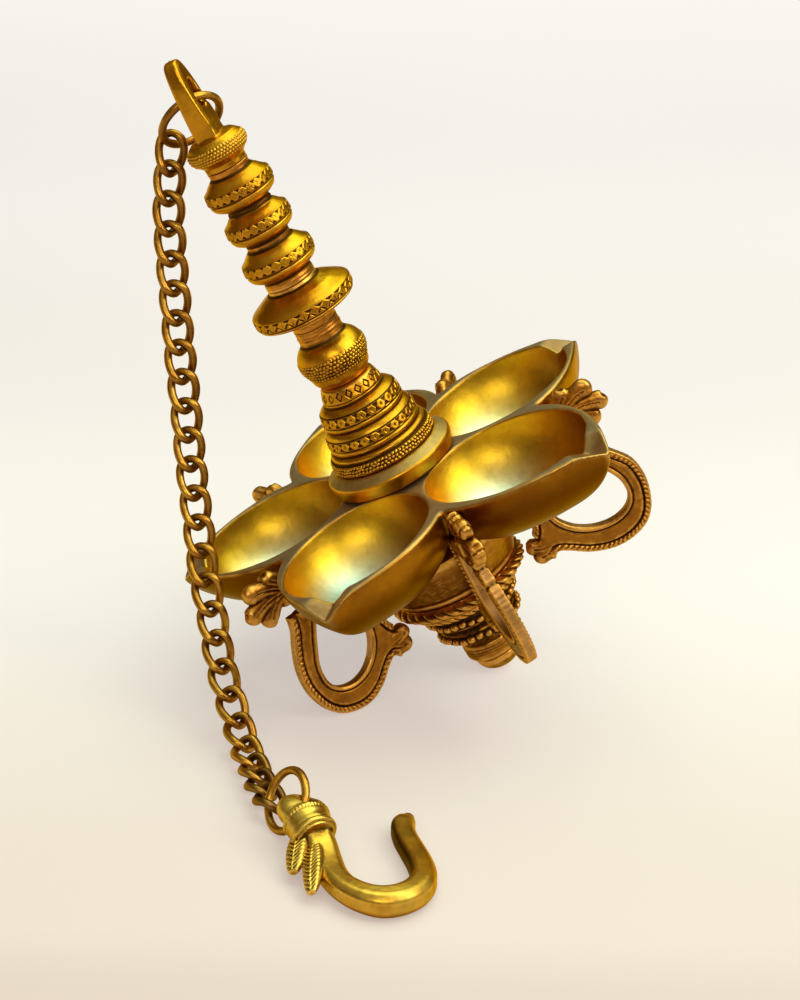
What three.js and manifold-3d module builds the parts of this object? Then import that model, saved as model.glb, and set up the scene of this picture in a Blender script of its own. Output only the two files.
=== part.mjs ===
// Hanging oil lamp: a five-bowl dish on a turned stem, with five loop brackets
// and a stepped boss below, an eye and ring above, and a chain that ends in a
// ring and a hook. Millimetres, +Z up. It stands on its foot and on the loops
// of two brackets, tilted towards one bowl, with the chain hanging to the floor
// and the hook lying flat on it. +Y runs away from the hook.
import * as THREE from "three";
import { mergeVertices } from "three/addons/utils/BufferGeometryUtils.js";
import Module from "manifold-3d";

const wasm = await Module();
wasm.setup();

// ---- Driving dimensions -------------------------------------------------
const R = 75; // tip radius of the dish; profiles below are given in R
const TILT = 28.0841; // lean of the lamp, degrees
const TURN = -178.529; // direction of the lean, degrees about Z
const RIM_HEIGHT = 0.868448; // rim plane's centre above the floor
const ORIGIN = [0.0424, -0.4327]; // X, Y of the object's middle on the floor
const SIDES = 20; // facets round the stem
const BORE = 0.05; // bore through the stem, for the rod
const ROD = 0.045;
const BOWL_AZ = [-1.6, 70.8, 142.4, 214.4, 286.4]; // direction of each bowl
const BOWL_TIP = [0.99, 0.995, 1.05, 0.99, 1.0]; // how far each tip reaches
const BOWL_DEPTH = 0.295;
const BOWL_HALF = 0.35; // half width of a bowl outside
const HOLLOW = { at: 0.545, long: 0.325, half: 0.297, deep: 0.262 };
const BRACKET_AZ = { ab: 36, bc: 108, cd: 180, de: 252, ea: 324 };
const BRACKET_THICK = 0.06;
const FIT = 0.006; // gap between a bracket and the bowls
const EYE_AZ = 80; // direction that the eye's edge faces
const EYE_THICK = 0.054;
const RING = { rho: 0.1206, wire: 0.0155 }; // upper ring
const RING_AT = [-0.7798, 0.0491, 2.2248];
const RING_NORMAL = [0.5533, -0.6542, -0.5156];
const WIRE = 0.01633; // chain wire radius
const LINK_HALF_LENGTH = 0.0757; // centre line of a link
const LINK_HALF_WIDTH = 0.047;
const LINK_TWIST = 45; // degrees each way, end to end
const CHAIN_WIDTH = [0.94, 0.3411, 0]; // across the chain
const LINKS = [
  [-0.8545, 0.0455, 2.0972],
  [-0.8615, 0.0285, 1.9875],
  [-0.8647, 0.0116, 1.876],
  [-0.86, -0.0079, 1.7655],
  [-0.8515, -0.0283, 1.6559],
  [-0.8413, -0.0499, 1.5466],
  [-0.8317, -0.0727, 1.4375],
  [-0.8215, -0.097, 1.3288],
  [-0.8091, -0.123, 1.2205],
  [-0.7974, -0.1508, 1.1128],
  [-0.7869, -0.1807, 1.0057],
  [-0.7746, -0.213, 0.8994],
  [-0.7597, -0.2482, 0.7941],
  [-0.7445, -0.2869, 0.6902],
  [-0.7297, -0.3295, 0.5881],
  [-0.7084, -0.377, 0.4884],
  [-0.6844, -0.4304, 0.3923],
  [-0.6613, -0.4911, 0.3011],
  [-0.633, -0.5605, 0.2173],
  [-0.5976, -0.6403, 0.1448],
  [-0.5628, -0.7311, 0.0891],
  [-0.5286, -0.8315, 0.0582],
  [-0.4946, -0.9363, 0.053],
  [-0.4649, -1.0413, 0.053],
  [-0.4268, -1.147, 0.0595],
];
const HOOK_RING = { rho: 0.1093, wire: 0.0155 };
const HOOK_RING_AT = [-0.3602, -1.2414, 0.1146];
const HOOK_RING_NORMAL = [0.7732, 0.4244, -0.4713];
const HOOK_HEAD = [-0.3053, -1.3358, 0.1205]; // middle of the hook's head
const HOOK_HOLE_AXIS = [0.387, 0.272, 0.881];

// ---- Solids --------------------------------------------------------------
const clean = (geometry) => {
  const g = geometry.clone();
  g.deleteAttribute("normal");
  g.deleteAttribute("uv");
  const m = mergeVertices(g, 1e-4);
  const idx = [];
  const a = m.index.array;
  for (let i = 0; i < a.length; i += 3)
    if (a[i] !== a[i + 1] && a[i + 1] !== a[i + 2] && a[i] !== a[i + 2])
      idx.push(a[i], a[i + 1], a[i + 2]);
  m.setIndex(idx);
  return m;
};
// signed volume tells which way the faces point
const volume = (g) => {
  const p = g.attributes.position;
  const a = g.index.array;
  const [u, v, w] = [0, 0, 0].map(() => new THREE.Vector3());
  let s = 0;
  for (let i = 0; i < a.length; i += 3) {
    u.fromBufferAttribute(p, a[i]);
    v.fromBufferAttribute(p, a[i + 1]);
    w.fromBufferAttribute(p, a[i + 2]);
    s += u.dot(v.cross(w)) / 6;
  }
  return s;
};
const solid = (geometry) => {
  const g = clean(geometry);
  const tri = Uint32Array.from(g.index.array);
  if (volume(g) < 0)
    for (let i = 0; i < tri.length; i += 3)
      [tri[i + 1], tri[i + 2]] = [tri[i + 2], tri[i + 1]];
  return new wasm.Manifold(
    new wasm.Mesh({
      numProp: 3,
      vertProperties: Float32Array.from(g.attributes.position.array),
      triVerts: tri,
    }),
  );
};
const toGeometry = (m) => {
  const mesh = m.getMesh();
  const n = mesh.numProp;
  const v = new Float32Array(mesh.numVert * 3);
  for (let i = 0; i < mesh.numVert; i++)
    v.set(mesh.vertProperties.subarray(i * n, i * n + 3), i * 3);
  const g = new THREE.BufferGeometry();
  g.setAttribute("position", new THREE.BufferAttribute(v, 3));
  g.setIndex(new THREE.BufferAttribute(Uint32Array.from(mesh.triVerts), 1));
  g.computeVertexNormals();
  return g;
};
const join = (...list) => list.reduce((a, b) => a.add(b));

// profile of [radius, height] pairs in R, turned about Z
const lathe = (profile, sides = SIDES) =>
  new THREE.LatheGeometry(
    profile.map(([r, z]) => new THREE.Vector2(r * R, z * R)),
    sides,
  ).rotateX(Math.PI / 2);
// a closed ring profile: the same, ending where it starts
const tube = (profile, sides = SIDES) => lathe([...profile, profile[0]], sides);
const moved = (geometry, place) => {
  const p = geometry.attributes.position;
  const v = new THREE.Vector3();
  for (let i = 0; i < p.count; i++) {
    v.fromBufferAttribute(p, i);
    place(v);
    p.setXYZ(i, v.x, v.y, v.z);
  }
  return geometry;
};
// a cylinder with its vertices moved onto a path, with a section at each step
const sweep = (path, section, steps, sides, across) => {
  const curve = new THREE.CatmullRomCurve3(
    path.map((q) => new THREE.Vector3(...q).multiplyScalar(R)),
    false,
    "centripetal",
  );
  return moved(new THREE.CylinderGeometry(1, 1, 1, sides, steps), (v) => {
    const s = Math.min(1, Math.max(0, v.y + 0.5));
    const c = curve.getPointAt(s);
    const t = curve.getTangentAt(s);
    const up = new THREE.Vector3(...across).addScaledVector(
      t,
      -t.dot(new THREE.Vector3(...across)),
    );
    up.normalize();
    const side = new THREE.Vector3().crossVectors(t, up);
    const [a, b] = section(s);
    const [x, z] = [v.x, v.z];
    v.copy(c)
      .addScaledVector(side, x * a * R)
      .addScaledVector(up, z * b * R);
  });
};
const ball = (at, size, turn) => {
  const g = new THREE.SphereGeometry(1, 12, 8).scale(
    size[0] * R,
    size[1] * R,
    size[2] * R,
  );
  if (turn) g.applyMatrix4(turn);
  return g.translate(at[0] * R, at[1] * R, at[2] * R);
};
// a frame whose Z is the given direction
const facing = (dir, near = [0, 0, 1]) => {
  const z = new THREE.Vector3(...dir).normalize();
  const x = new THREE.Vector3().crossVectors(new THREE.Vector3(...near), z);
  if (x.length() < 1e-6) x.set(1, 0, 0);
  x.normalize();
  const y = new THREE.Vector3().crossVectors(z, x);
  return new THREE.Matrix4().makeBasis(x, y, z);
};
const ringGeometry = (at, normal, rho, wire, around, sides) =>
  new THREE.TorusGeometry(rho * R, wire * R, sides, around)
    .applyMatrix4(facing(normal))
    .translate(at[0] * R, at[1] * R, at[2] * R);

// ---- Scene graph ---------------------------------------------------------
const object = new THREE.Group();
const outer = new THREE.Group(); // turns the lean
const lamp = new THREE.Group(); // the lamp's own frame: Z along the stem
outer.position.set(-ORIGIN[0] * R, -ORIGIN[1] * R, RIM_HEIGHT * R);
outer.rotation.z = (TURN * Math.PI) / 180;
lamp.rotation.y = (TILT * Math.PI) / 180;
outer.add(lamp);
const floorSet = new THREE.Group(); // rings, chain and hook
floorSet.position.set(-ORIGIN[0] * R, -ORIGIN[1] * R, 0);
object.add(outer, floorSet);

const brass = (color, roughness = 0.34) =>
  new THREE.MeshStandardMaterial({ color, roughness, metalness: 1 });
const put = (parent, name, m, color = 0xb98a35, roughness) => {
  const mesh = new THREE.Mesh(
    m.isBufferGeometry ? m : toGeometry(m),
    brass(color, roughness),
  );
  mesh.name = name;
  parent.add(mesh);
  return mesh;
};

// lamp frame to world and back, for pieces that the ring has to clear
const tilt = new THREE.Matrix4()
  .makeRotationZ((TURN * Math.PI) / 180)
  .multiply(new THREE.Matrix4().makeRotationY((TILT * Math.PI) / 180))
  .setPosition(0, 0, RIM_HEIGHT * R);
const untilt = tilt.clone().invert();

// ---- Eye with its knob ----------------------------------------------------
{
  const knob = solid(
    lathe([
      [0, 1.45],
      [BORE, 1.45],
      [BORE, 1.372],
      [0.082, 1.372],
      [0.082, 1.392],
      [0.104, 1.412],
      [0.116, 1.428],
      [0.119, 1.447],
      [0.112, 1.464],
      [0.088, 1.488],
      [0.04, 1.498],
      [0, 1.498],
    ]),
  );
  const half = [
    [0.05, 1.475],
    [0.062, 1.53],
    [0.068, 1.6],
    [0.068, 1.66],
    [0.058, 1.715],
    [0.036, 1.765],
    [0.012, 1.797],
  ];
  const shape = new THREE.Shape();
  half.forEach(([x, y], i) =>
    i ? shape.lineTo(x * R, y * R) : shape.moveTo(x * R, y * R),
  );
  [...half]
    .reverse()
    .forEach(([x, y]) => shape.lineTo(-x * R, y * R));
  shape.closePath();
  const plate = new THREE.ExtrudeGeometry(shape, {
    depth: EYE_THICK * R,
    bevelEnabled: false,
  })
    .translate(0, 0, (-EYE_THICK / 2) * R)
    .rotateX(Math.PI / 2);
  // thicker towards its foot
  moved(plate, (v) => {
    const k = THREE.MathUtils.clamp((1.64 * R - v.z) / (0.16 * R), 0, 1);
    v.y *= 1 + 0.5 * k;
  });
  plate.rotateZ((EYE_AZ * Math.PI) / 180);
  const slot = new THREE.Shape();
  const w = 0.031 * R;
  slot.absarc(0, 1.683 * R, w, 0, Math.PI, false);
  slot.absarc(0, 1.632 * R, w, Math.PI, 2 * Math.PI, false);
  const cut = new THREE.ExtrudeGeometry(slot, {
    depth: 0.2 * R,
    bevelEnabled: false,
    curveSegments: 8,
  })
    .translate(0, 0, -0.1 * R)
    .rotateX(Math.PI / 2)
    .rotateZ((EYE_AZ * Math.PI) / 180);
  const worn = ringGeometry(
    RING_AT,
    RING_NORMAL,
    RING.rho,
    RING.wire + 0.0066,
    24,
    8,
  ).applyMatrix4(untilt);
  const near = new THREE.SphereGeometry(0.12 * R, 16, 12).translate(
    0,
    0,
    1.66 * R,
  );
  put(
    lamp,
    "top_eye",
    join(knob, solid(plate))
      .subtract(solid(cut))
      .subtract(solid(worn).intersect(solid(near))),
    0xc09338,
  );
}

// ---- Turned stem -----------------------------------------------------------
const section = (zTop, neckTop, zBottom, neckBottom, middle) => [
  [BORE, zBottom],
  [neckBottom, zBottom],
  ...middle,
  [neckTop, zTop],
  [BORE, zTop],
];
// one collar from below, about the middle of its ornament band
const collarUp = (z, r, neckLow, neckHigh) => [
  [neckLow, z - 0.078],
  [r * 0.84, z - 0.062],
  [r - 0.004, z - 0.042],
  [r, z - 0.016],
  [r - 0.006, z + 0.017],
  [r * 0.86, z + 0.038],
  [neckHigh, z + 0.06],
];
put(
  lamp,
  "upper_stem",
  solid(
    tube(
      section(1.368, 0.082, 0.873, 0.1, [
        ...collarUp(0.981, 0.147, 0.098, 0.09),
        ...collarUp(1.138, 0.135, 0.089, 0.0875),
        ...collarUp(1.285, 0.137, 0.086, 0.082),
      ]),
    ),
  ),
  0xb98a35,
);
put(
  lamp,
  "stem_disc",
  solid(
    tube([
      [BORE, 0.722],
      [0.096, 0.722],
      [0.15, 0.731],
      [0.192, 0.748],
      [0.207, 0.764],
      [0.207, 0.796],
      [0.196, 0.81],
      [0.15, 0.836],
      [0.104, 0.853],
      [0.098, 0.869],
      [BORE, 0.869],
    ], 24),
  ),
  0xbd8f36,
);
put(
  lamp,
  "stem_ball",
  solid(
    tube([
      [BORE, 0.436],
      [0.1, 0.436],
      [0.116, 0.462],
      [0.134, 0.5],
      [0.14, 0.536],
      [0.132, 0.572],
      [0.112, 0.6],
      [0.092, 0.612],
      [0.09, 0.628],
      [0.092, 0.655],
      [0.094, 0.718],
      [BORE, 0.718],
    ]),
  ),
  0xb98a35,
);
put(
  lamp,
  "stem_cone",
  solid(
    tube([
      [BORE, 0.006],
      [0.22, 0.006],
      [0.232, 0.022],
      [0.256, 0.05],
      [0.262, 0.066],
      [0.256, 0.08],
      [0.214, 0.097],
      [0.216, 0.13],
      [0.208, 0.165],
      [0.19, 0.178],
      [0.192, 0.225],
      [0.182, 0.258],
      [0.166, 0.27],
      [0.169, 0.315],
      [0.158, 0.346],
      [0.126, 0.362],
      [0.126, 0.376],
      [0.106, 0.43],
      [BORE, 0.432],
    ], 24),
  ),
  0xb98a35,
);
put(
  lamp,
  "tie_rod",
  solid(
    lathe(
      [
        [0, -0.925],
        [ROD, -0.925],
        [ROD, 1.44],
        [0, 1.44],
      ],
      12,
    ),
  ),
  0x8a6a30,
);

// ---- Dish with five bowls ---------------------------------------------------
// half width of a bowl's rim outline at a distance from the axis, in R
const bowlHalf = (u, tip) => {
  if (u > 0.5) {
    const t = (u - 0.5) / (tip - 0.5);
    return BOWL_HALF * Math.max(0, 1 - t * t);
  }
  const t = (0.5 - u) / 0.4;
  return BOWL_HALF * Math.sqrt(Math.max(0, 1 - t * t));
};
const podOutline = (tip, n) => {
  const half = [];
  for (let i = 0; i <= n; i++) {
    // even steps in angle about the bowl's middle
    const a = (i / n) * Math.PI;
    const dx = Math.cos(a);
    const dy = Math.sin(a);
    let lo = 0;
    let hi = 1;
    for (let k = 0; k < 40; k++) {
      const m = (lo + hi) / 2;
      const u = 0.5 + m * dx;
      if (u < tip && u > 0.1 && m * dy < bowlHalf(u, tip)) lo = m;
      else hi = m;
    }
    half.push(lo);
  }
  return half;
};
const pod = (az, tip, grow = 0) => {
  const n = 12;
  const reach = podOutline(tip, n).map((q) => q + grow);
  const steps = 6;
  const profile = [[0, 0]];
  for (let i = steps; i >= 1; i--)
    profile.push([
      Math.sin((i / steps) * (Math.PI / 2)),
      -Math.cos((i / steps) * (Math.PI / 2)),
    ]);
  profile.push([0, -1]);
  const g = new THREE.LatheGeometry(
    profile.map(([r, z]) => new THREE.Vector2(r, z)),
    2 * n,
  ).rotateX(Math.PI / 2);
  moved(g, (v) => {
    const a = Math.atan2(v.y, v.x);
    const rho = Math.hypot(v.x, v.y);
    const f = reach[Math.min(n, Math.round((Math.abs(a) / Math.PI) * n))];
    v.set(
      (0.5 + rho * f * Math.cos(a)) * R,
      rho * f * Math.sin(a) * R,
      v.z > -1e-6 ? grow * 9 * R : v.z * (BOWL_DEPTH + grow) * R,
    );
  });
  return g.rotateZ((az * Math.PI) / 180);
};
const hollow = (az) => {
  const profile = [[0, 0.3]];
  profile.push([1, 0.3], [1, 0]);
  const steps = 6;
  for (let i = steps - 1; i >= 0; i--)
    profile.push([
      Math.sin((i / steps) * (Math.PI / 2)),
      -Math.cos((i / steps) * (Math.PI / 2)),
    ]);
  const g = new THREE.LatheGeometry(
    profile.map(([r, z]) => new THREE.Vector2(r, z)),
    20,
  ).rotateX(Math.PI / 2);
  g.scale(HOLLOW.long * R, HOLLOW.half * R, HOLLOW.deep * R);
  return g.translate(HOLLOW.at * R, 0, 0).rotateZ((az * Math.PI) / 180);
};
const groove = (az, tip) => {
  // V channel for the wick, from the hollow's outer end to the tip
  const s = new THREE.Shape();
  s.moveTo(0, -0.075 * R);
  s.lineTo(0.1 * R, 0.02 * R);
  s.lineTo(-0.1 * R, 0.02 * R);
  s.closePath();
  const g = new THREE.ExtrudeGeometry(s, {
    depth: 0.3 * R,
    bevelEnabled: false,
  });
  g.rotateX(Math.PI / 2).rotateZ(Math.PI / 2);
  // the channel's line rises towards the tip
  g.rotateY(-0.16);
  return g
    .translate((tip - 0.2) * R, 0, -0.012 * R)
    .rotateZ((az * Math.PI) / 180);
};
{
  let dish = solid(
    lathe(
      [
        [0, -0.275],
        [0.25, -0.275],
        [0.25, 0],
        [0, 0],
      ],
      24,
    ),
  );
  BOWL_AZ.forEach((az, i) => {
    dish = dish.add(solid(pod(az, BOWL_TIP[i])));
  });
  BOWL_AZ.forEach((az, i) => {
    dish = dish
      .subtract(solid(hollow(az)))
      .subtract(solid(groove(az, BOWL_TIP[i])));
  });
  const bore = solid(
    lathe(
      [
        [0, -0.5],
        [BORE, -0.5],
        [BORE, 0.5],
        [0, 0.5],
      ],
      12,
    ),
  );
  put(lamp, "petal_dish", dish.subtract(bore), 0xc39a3a, 0.3);
}

// ---- Loop brackets ------------------------------------------------------------
// outlines in the plane through the axis: [distance from the axis, height]
const BRACKET_OUT = [
  [0.636, -0.055],
  [0.64, 0.004],
  [0.675, 0.016],
  [0.715, 0.0],
  [0.75, 0.022],
  [0.8, 0.016],
  [0.848, -0.02],
  [0.862, -0.052],
  [0.844, -0.082],
  [0.86, -0.112],
  [0.85, -0.152],
  [0.818, -0.186],
  [0.78, -0.194],
  [0.742, -0.17],
  [0.715, -0.185],
  [0.722, -0.25],
  [0.755, -0.315],
  [0.784, -0.385],
  [0.797, -0.46],
  [0.792, -0.53],
  [0.765, -0.606],
  [0.718, -0.66],
  [0.65, -0.692],
  [0.58, -0.698],
  [0.51, -0.673],
  [0.45, -0.63],
  [0.41, -0.612],
  [0.385, -0.638],
  [0.345, -0.64],
  [0.308, -0.612],
  [0.294, -0.57],
  [0.312, -0.525],
  [0.35, -0.5],
  [0.372, -0.44],
  [0.38, -0.35],
  [0.395, -0.24],
  [0.42, -0.185],
  [0.5, -0.155],
  [0.58, -0.135],
  [0.632, -0.12],
];
const BRACKET_HOLE = [
  [0.455, -0.4],
  [0.45, -0.44],
  [0.465, -0.495],
  [0.505, -0.548],
  [0.56, -0.58],
  [0.622, -0.584],
  [0.676, -0.558],
  [0.705, -0.51],
  [0.702, -0.44],
  [0.672, -0.37],
  [0.64, -0.31],
  [0.6, -0.25],
  [0.545, -0.232],
  [0.49, -0.252],
  [0.462, -0.31],
];
const BULGE = { ab: 0, bc: 0, cd: 0.055, de: 0.02, ea: 0 };
for (const [key, az] of Object.entries(BRACKET_AZ)) {
  const bend = ([x, y]) => {
    const k =
      THREE.MathUtils.smoothstep(x, 0.4, 0.7) *
      THREE.MathUtils.smoothstep(-y, 0.22, 0.42);
    return new THREE.Vector2((x + BULGE[key] * k) * R, y * R);
  };
  const shape = new THREE.Shape(BRACKET_OUT.map(bend));
  shape.holes.push(new THREE.Path(BRACKET_HOLE.map(bend)));
  const g = new THREE.ExtrudeGeometry(shape, {
    depth: BRACKET_THICK * R,
    bevelEnabled: false,
  })
    .translate(0, 0, (-BRACKET_THICK / 2) * R)
    .rotateX(Math.PI / 2)
    .rotateZ((az * Math.PI) / 180);
  // cut to fit under the bowls and round the cup, with a small gap
  let piece = solid(g);
  BOWL_AZ.forEach((a, i) => {
    piece = piece.subtract(solid(pod(a, BOWL_TIP[i], FIT)));
  });
  put(lamp, "bracket_" + key, piece, 0x9a6a2a, 0.42);
}

// ---- Cup, rings and boss below the dish -------------------------------------
put(
  lamp,
  "lower_cup",
  solid(
    tube([
      [BORE, -0.51],
      [0.262, -0.51],
      [0.285, -0.468],
      [0.315, -0.4],
      [0.335, -0.34],
      [0.34, -0.302],
      [BORE, -0.302],
    ]),
  ),
  0x8f6428,
  0.42,
);
put(
  lamp,
  "rope_ring",
  solid(
    tube([
      [BORE, -0.566],
      [0.262, -0.566],
      [0.282, -0.552],
      [0.287, -0.538],
      [0.28, -0.522],
      [0.262, -0.514],
      [BORE, -0.514],
    ]),
  ),
  0x9a6a2a,
  0.42,
);
put(
  lamp,
  "lower_boss",
  solid(
    tube([
      [BORE, -0.884],
      [0.098, -0.884],
      [0.117, -0.866],
      [0.118, -0.805],
      [0.104, -0.788],
      [0.1, -0.772],
      [0.13, -0.762],
      [0.17, -0.75],
      [0.18, -0.731],
      [0.17, -0.712],
      [0.165, -0.69],
      [0.19, -0.672],
      [0.2, -0.65],
      [0.19, -0.63],
      [0.232, -0.598],
      [0.238, -0.57],
      [BORE, -0.57],
    ]),
  ),
  0x9a6a2a,
  0.42,
);
put(
  lamp,
  "foot_finial",
  solid(
    lathe([
      [0, -0.955],
      [0.055, -0.955],
      [0.078, -0.938],
      [0.094, -0.91],
      [0.096, -0.888],
      [BORE, -0.888],
      [BORE, -0.929],
      [0, -0.929],
    ]),
  ),
  0x9a6a2a,
  0.4,
);

// ---- Upper ring ----------------------------------------------------------------
put(
  floorSet,
  "top_ring",
  solid(ringGeometry(RING_AT, RING_NORMAL, RING.rho, RING.wire, 20, 6)),
  0xa87a30,
  0.38,
);

// ---- Chain -----------------------------------------------------------------------
const across = new THREE.Vector3(...CHAIN_WIDTH).normalize();
LINKS.forEach((at, i) => {
  const before = new THREE.Vector3(...LINKS[Math.max(0, i - 1)]);
  const after = new THREE.Vector3(...LINKS[Math.min(LINKS.length - 1, i + 1)]);
  const along = after.sub(before).normalize();
  const wide = across.clone().addScaledVector(along, -across.dot(along));
  wide.normalize();
  const face = new THREE.Vector3().crossVectors(along, wide);
  const centre = new THREE.Vector3(...at);
  const bar = (a) => {
    // centre line of the twisted link at angle a
    const s = Math.sin(a);
    const c = Math.cos(a);
    const k = LINK_HALF_LENGTH - LINK_HALF_WIDTH;
    const x = s * LINK_HALF_WIDTH + Math.sign(s) * k * Math.min(1, Math.abs(s) * 2.2);
    const w = c * LINK_HALF_WIDTH;
    const turn = ((-x / LINK_HALF_LENGTH) * LINK_TWIST * Math.PI) / 180;
    return centre
      .clone()
      .addScaledVector(along, x)
      .addScaledVector(wide, w * Math.cos(turn))
      .addScaledVector(face, w * Math.sin(turn));
  };
  const g = moved(
    new THREE.TorusGeometry(1, 0.25, 6, 16),
    (v) => {
      const a = Math.atan2(v.y, v.x);
      const out = (Math.hypot(v.x, v.y) - 1) * 4;
      const up = v.z * 4;
      const p = bar(a);
      const t = bar(a + 0.02).sub(bar(a - 0.02)).normalize();
      const toward = p.clone().sub(centre);
      toward.addScaledVector(t, -toward.dot(t)).normalize();
      const normal = new THREE.Vector3().crossVectors(t, toward);
      v.copy(
        p
          .addScaledVector(toward, out * WIRE)
          .addScaledVector(normal, up * WIRE)
          .multiplyScalar(R),
      );
    },
  );
  put(
    floorSet,
    "chain_link_" + String(i + 1).padStart(2, "0"),
    solid(g),
    0xa87a30,
    0.38,
  );
});

// ---- Hook and its ring --------------------------------------------------------------
put(
  floorSet,
  "hook_ring",
  solid(
    ringGeometry(
      HOOK_RING_AT,
      HOOK_RING_NORMAL,
      HOOK_RING.rho,
      HOOK_RING.wire,
      20,
      6,
    ),
  ),
  0xb88a35,
  0.36,
);
{
  const head = ball(HOOK_HEAD, [0.09, 0.09, 0.062], facing(HOOK_HOLE_AXIS));
  const neck = sweep(
    [
      [-0.292, -1.365, 0.115],
      [-0.265, -1.405, 0.104],
      [-0.243, -1.45, 0.09],
    ],
    (s) => [0.088 - 0.01 * Math.abs(s - 0.4), 0.078 - 0.006 * s],
    4,
    12,
    [0, 0, 1],
  );
  const BAR = [
    [-0.262, -1.41, 0.1],
    [-0.235, -1.465, 0.078],
    [-0.212, -1.53, 0.057],
    [-0.188, -1.6, 0.052],
    [-0.16, -1.66, 0.0525],
    [-0.125, -1.706, 0.0535],
    [-0.075, -1.744, 0.0535],
    [-0.02, -1.762, 0.0535],
    [0.037, -1.754, 0.0535],
    [0.086, -1.715, 0.052],
    [0.118, -1.655, 0.0485],
    [0.124, -1.59, 0.045],
    [0.11, -1.515, 0.044],
    [0.084, -1.435, 0.0435],
    [0.06, -1.36, 0.043],
    [0.052, -1.295, 0.0425],
    [0.068, -1.238, 0.042],
  ];
  const bar = sweep(
    BAR,
    (s) => {
      const mid = Math.exp(-(((s - 0.48) / 0.2) ** 2));
      const end = s > 0.95 ? Math.sqrt(Math.max(0.25, 1 - ((s - 0.95) / 0.06) ** 2)) : 1;
      return [(0.041 + 0.0095 * mid) * end, (0.041 + 0.0085 * mid) * end];
    },
    20,
    8,
    [0, 0, 1],
  );
  const leaf = (from, to, wide) => {
    const a = new THREE.Vector3(...from);
    const b = new THREE.Vector3(...to);
    const m = a.clone().add(b).multiplyScalar(0.5);
    return ball(
      m.toArray(),
      [wide, wide * 0.8, a.distanceTo(b) / 2],
      facing(b.clone().sub(a).toArray()),
    );
  };
  const leafA = leaf([-0.285, -1.4, 0.098], [-0.312, -1.61, 0.05], 0.036);
  const leafB = leaf([-0.238, -1.5, 0.09], [-0.24, -1.735, 0.05], 0.036);
  const hole = new THREE.CylinderGeometry(0.036 * R, 0.036 * R, 0.4 * R, 14)
    .rotateX(Math.PI / 2)
    .applyMatrix4(facing(HOOK_HOLE_AXIS))
    .translate(...HOOK_HEAD.map((q) => q * R));
  const worn = ringGeometry(
    HOOK_RING_AT,
    HOOK_RING_NORMAL,
    HOOK_RING.rho,
    HOOK_RING.wire + 0.0115,
    24,
    8,
  );
  put(
    floorSet,
    "hook",
    join(solid(head), solid(neck), solid(bar), solid(leafA), solid(leafB))
      .subtract(solid(hole))
      .subtract(solid(worn)),
    0xc09338,
    0.3,
  );
}

export default object;
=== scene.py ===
# Looks of the hanging oil lamp: turned and engraved stem, cast bowls, loop
# brackets, boss, chain and hook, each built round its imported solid.
import math
import bpy
import numpy as np
from mathutils import Matrix, Vector


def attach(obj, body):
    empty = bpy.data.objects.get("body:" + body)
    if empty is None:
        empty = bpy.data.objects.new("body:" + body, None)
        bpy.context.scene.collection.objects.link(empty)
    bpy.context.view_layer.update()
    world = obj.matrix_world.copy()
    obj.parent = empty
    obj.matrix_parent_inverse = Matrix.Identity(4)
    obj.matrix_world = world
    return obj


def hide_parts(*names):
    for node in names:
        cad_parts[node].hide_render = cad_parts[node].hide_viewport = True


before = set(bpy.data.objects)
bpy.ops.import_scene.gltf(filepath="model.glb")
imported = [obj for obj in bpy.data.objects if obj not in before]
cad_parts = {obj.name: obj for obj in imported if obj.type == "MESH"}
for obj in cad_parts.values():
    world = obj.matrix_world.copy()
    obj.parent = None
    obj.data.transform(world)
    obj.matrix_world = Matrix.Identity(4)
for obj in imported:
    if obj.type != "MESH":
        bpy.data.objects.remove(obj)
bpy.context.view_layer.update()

R = 0.075  # tip radius of the dish, metres; shapes below are given in R
ORIGIN = np.array([0.0424, -0.4327, 0.0])
# the lamp's own frame, Z up the stem, in the row frame
TURN = np.array(
    [
        [-0.881967, 0.025671, -0.470612],
        [-0.022648, -0.99967, -0.012085],
        [-0.470767, 0.0, 0.882258],
    ]
)
SHIFT = np.array([-0.00318, 0.0324525, 0.0651336])
FINE = 1.0


def lamp_to_row(p):
    return p @ TURN.T * R + SHIFT


def row_to_lamp(p):
    return (p - SHIFT) @ TURN / R


def floor_to_row(p):
    return (p - ORIGIN) * R


def unit(v):
    v = np.asarray(v, float)
    return v / np.linalg.norm(v)


def step(a, b, x):
    t = np.clip((x - a) / (b - a), 0.0, 1.0)
    return t * t * (3 - 2 * t)


def smin(a, b, k):
    h = np.maximum(k - np.abs(a - b), 0.0) / k
    return np.minimum(a, b) - h * h * k * 0.25


def smax(a, b, k):
    h = np.maximum(k - np.abs(a - b), 0.0) / k
    return np.maximum(a, b) + h * h * k * 0.25


# ---- meshes -------------------------------------------------------------------
def normals(v, f):
    n = np.zeros_like(v)
    a, b, c = v[f[:, 0]], v[f[:, 1]], v[f[:, 2]]
    d = v[f[:, 3]] if f.shape[1] == 4 else c
    fn = np.cross(c - a, d - b) if f.shape[1] == 4 else np.cross(b - a, c - a)
    for k in range(f.shape[1]):
        for i in range(3):
            n[:, i] += np.bincount(f[:, k], fn[:, i], len(v))
    ln = np.linalg.norm(n, axis=1)
    return n / np.maximum(ln, 1e-20)[:, None]


def neighbours(f, count):
    k = f.shape[1]
    src = np.concatenate([f[:, i] for i in range(k)] * 2)
    dst = np.concatenate(
        [f[:, (i + 1) % k] for i in range(k)] + [f[:, (i - 1) % k] for i in range(k)]
    )
    return src, dst, np.maximum(np.bincount(src, minlength=count), 1)


def smoothed(v, f, rounds):
    src, dst, deg = neighbours(f, len(v))
    p = v.copy()
    for _ in range(rounds):
        p = np.stack(
            [np.bincount(src, p[dst, i], len(v)) / deg for i in range(3)], 1
        )
    return p


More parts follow.
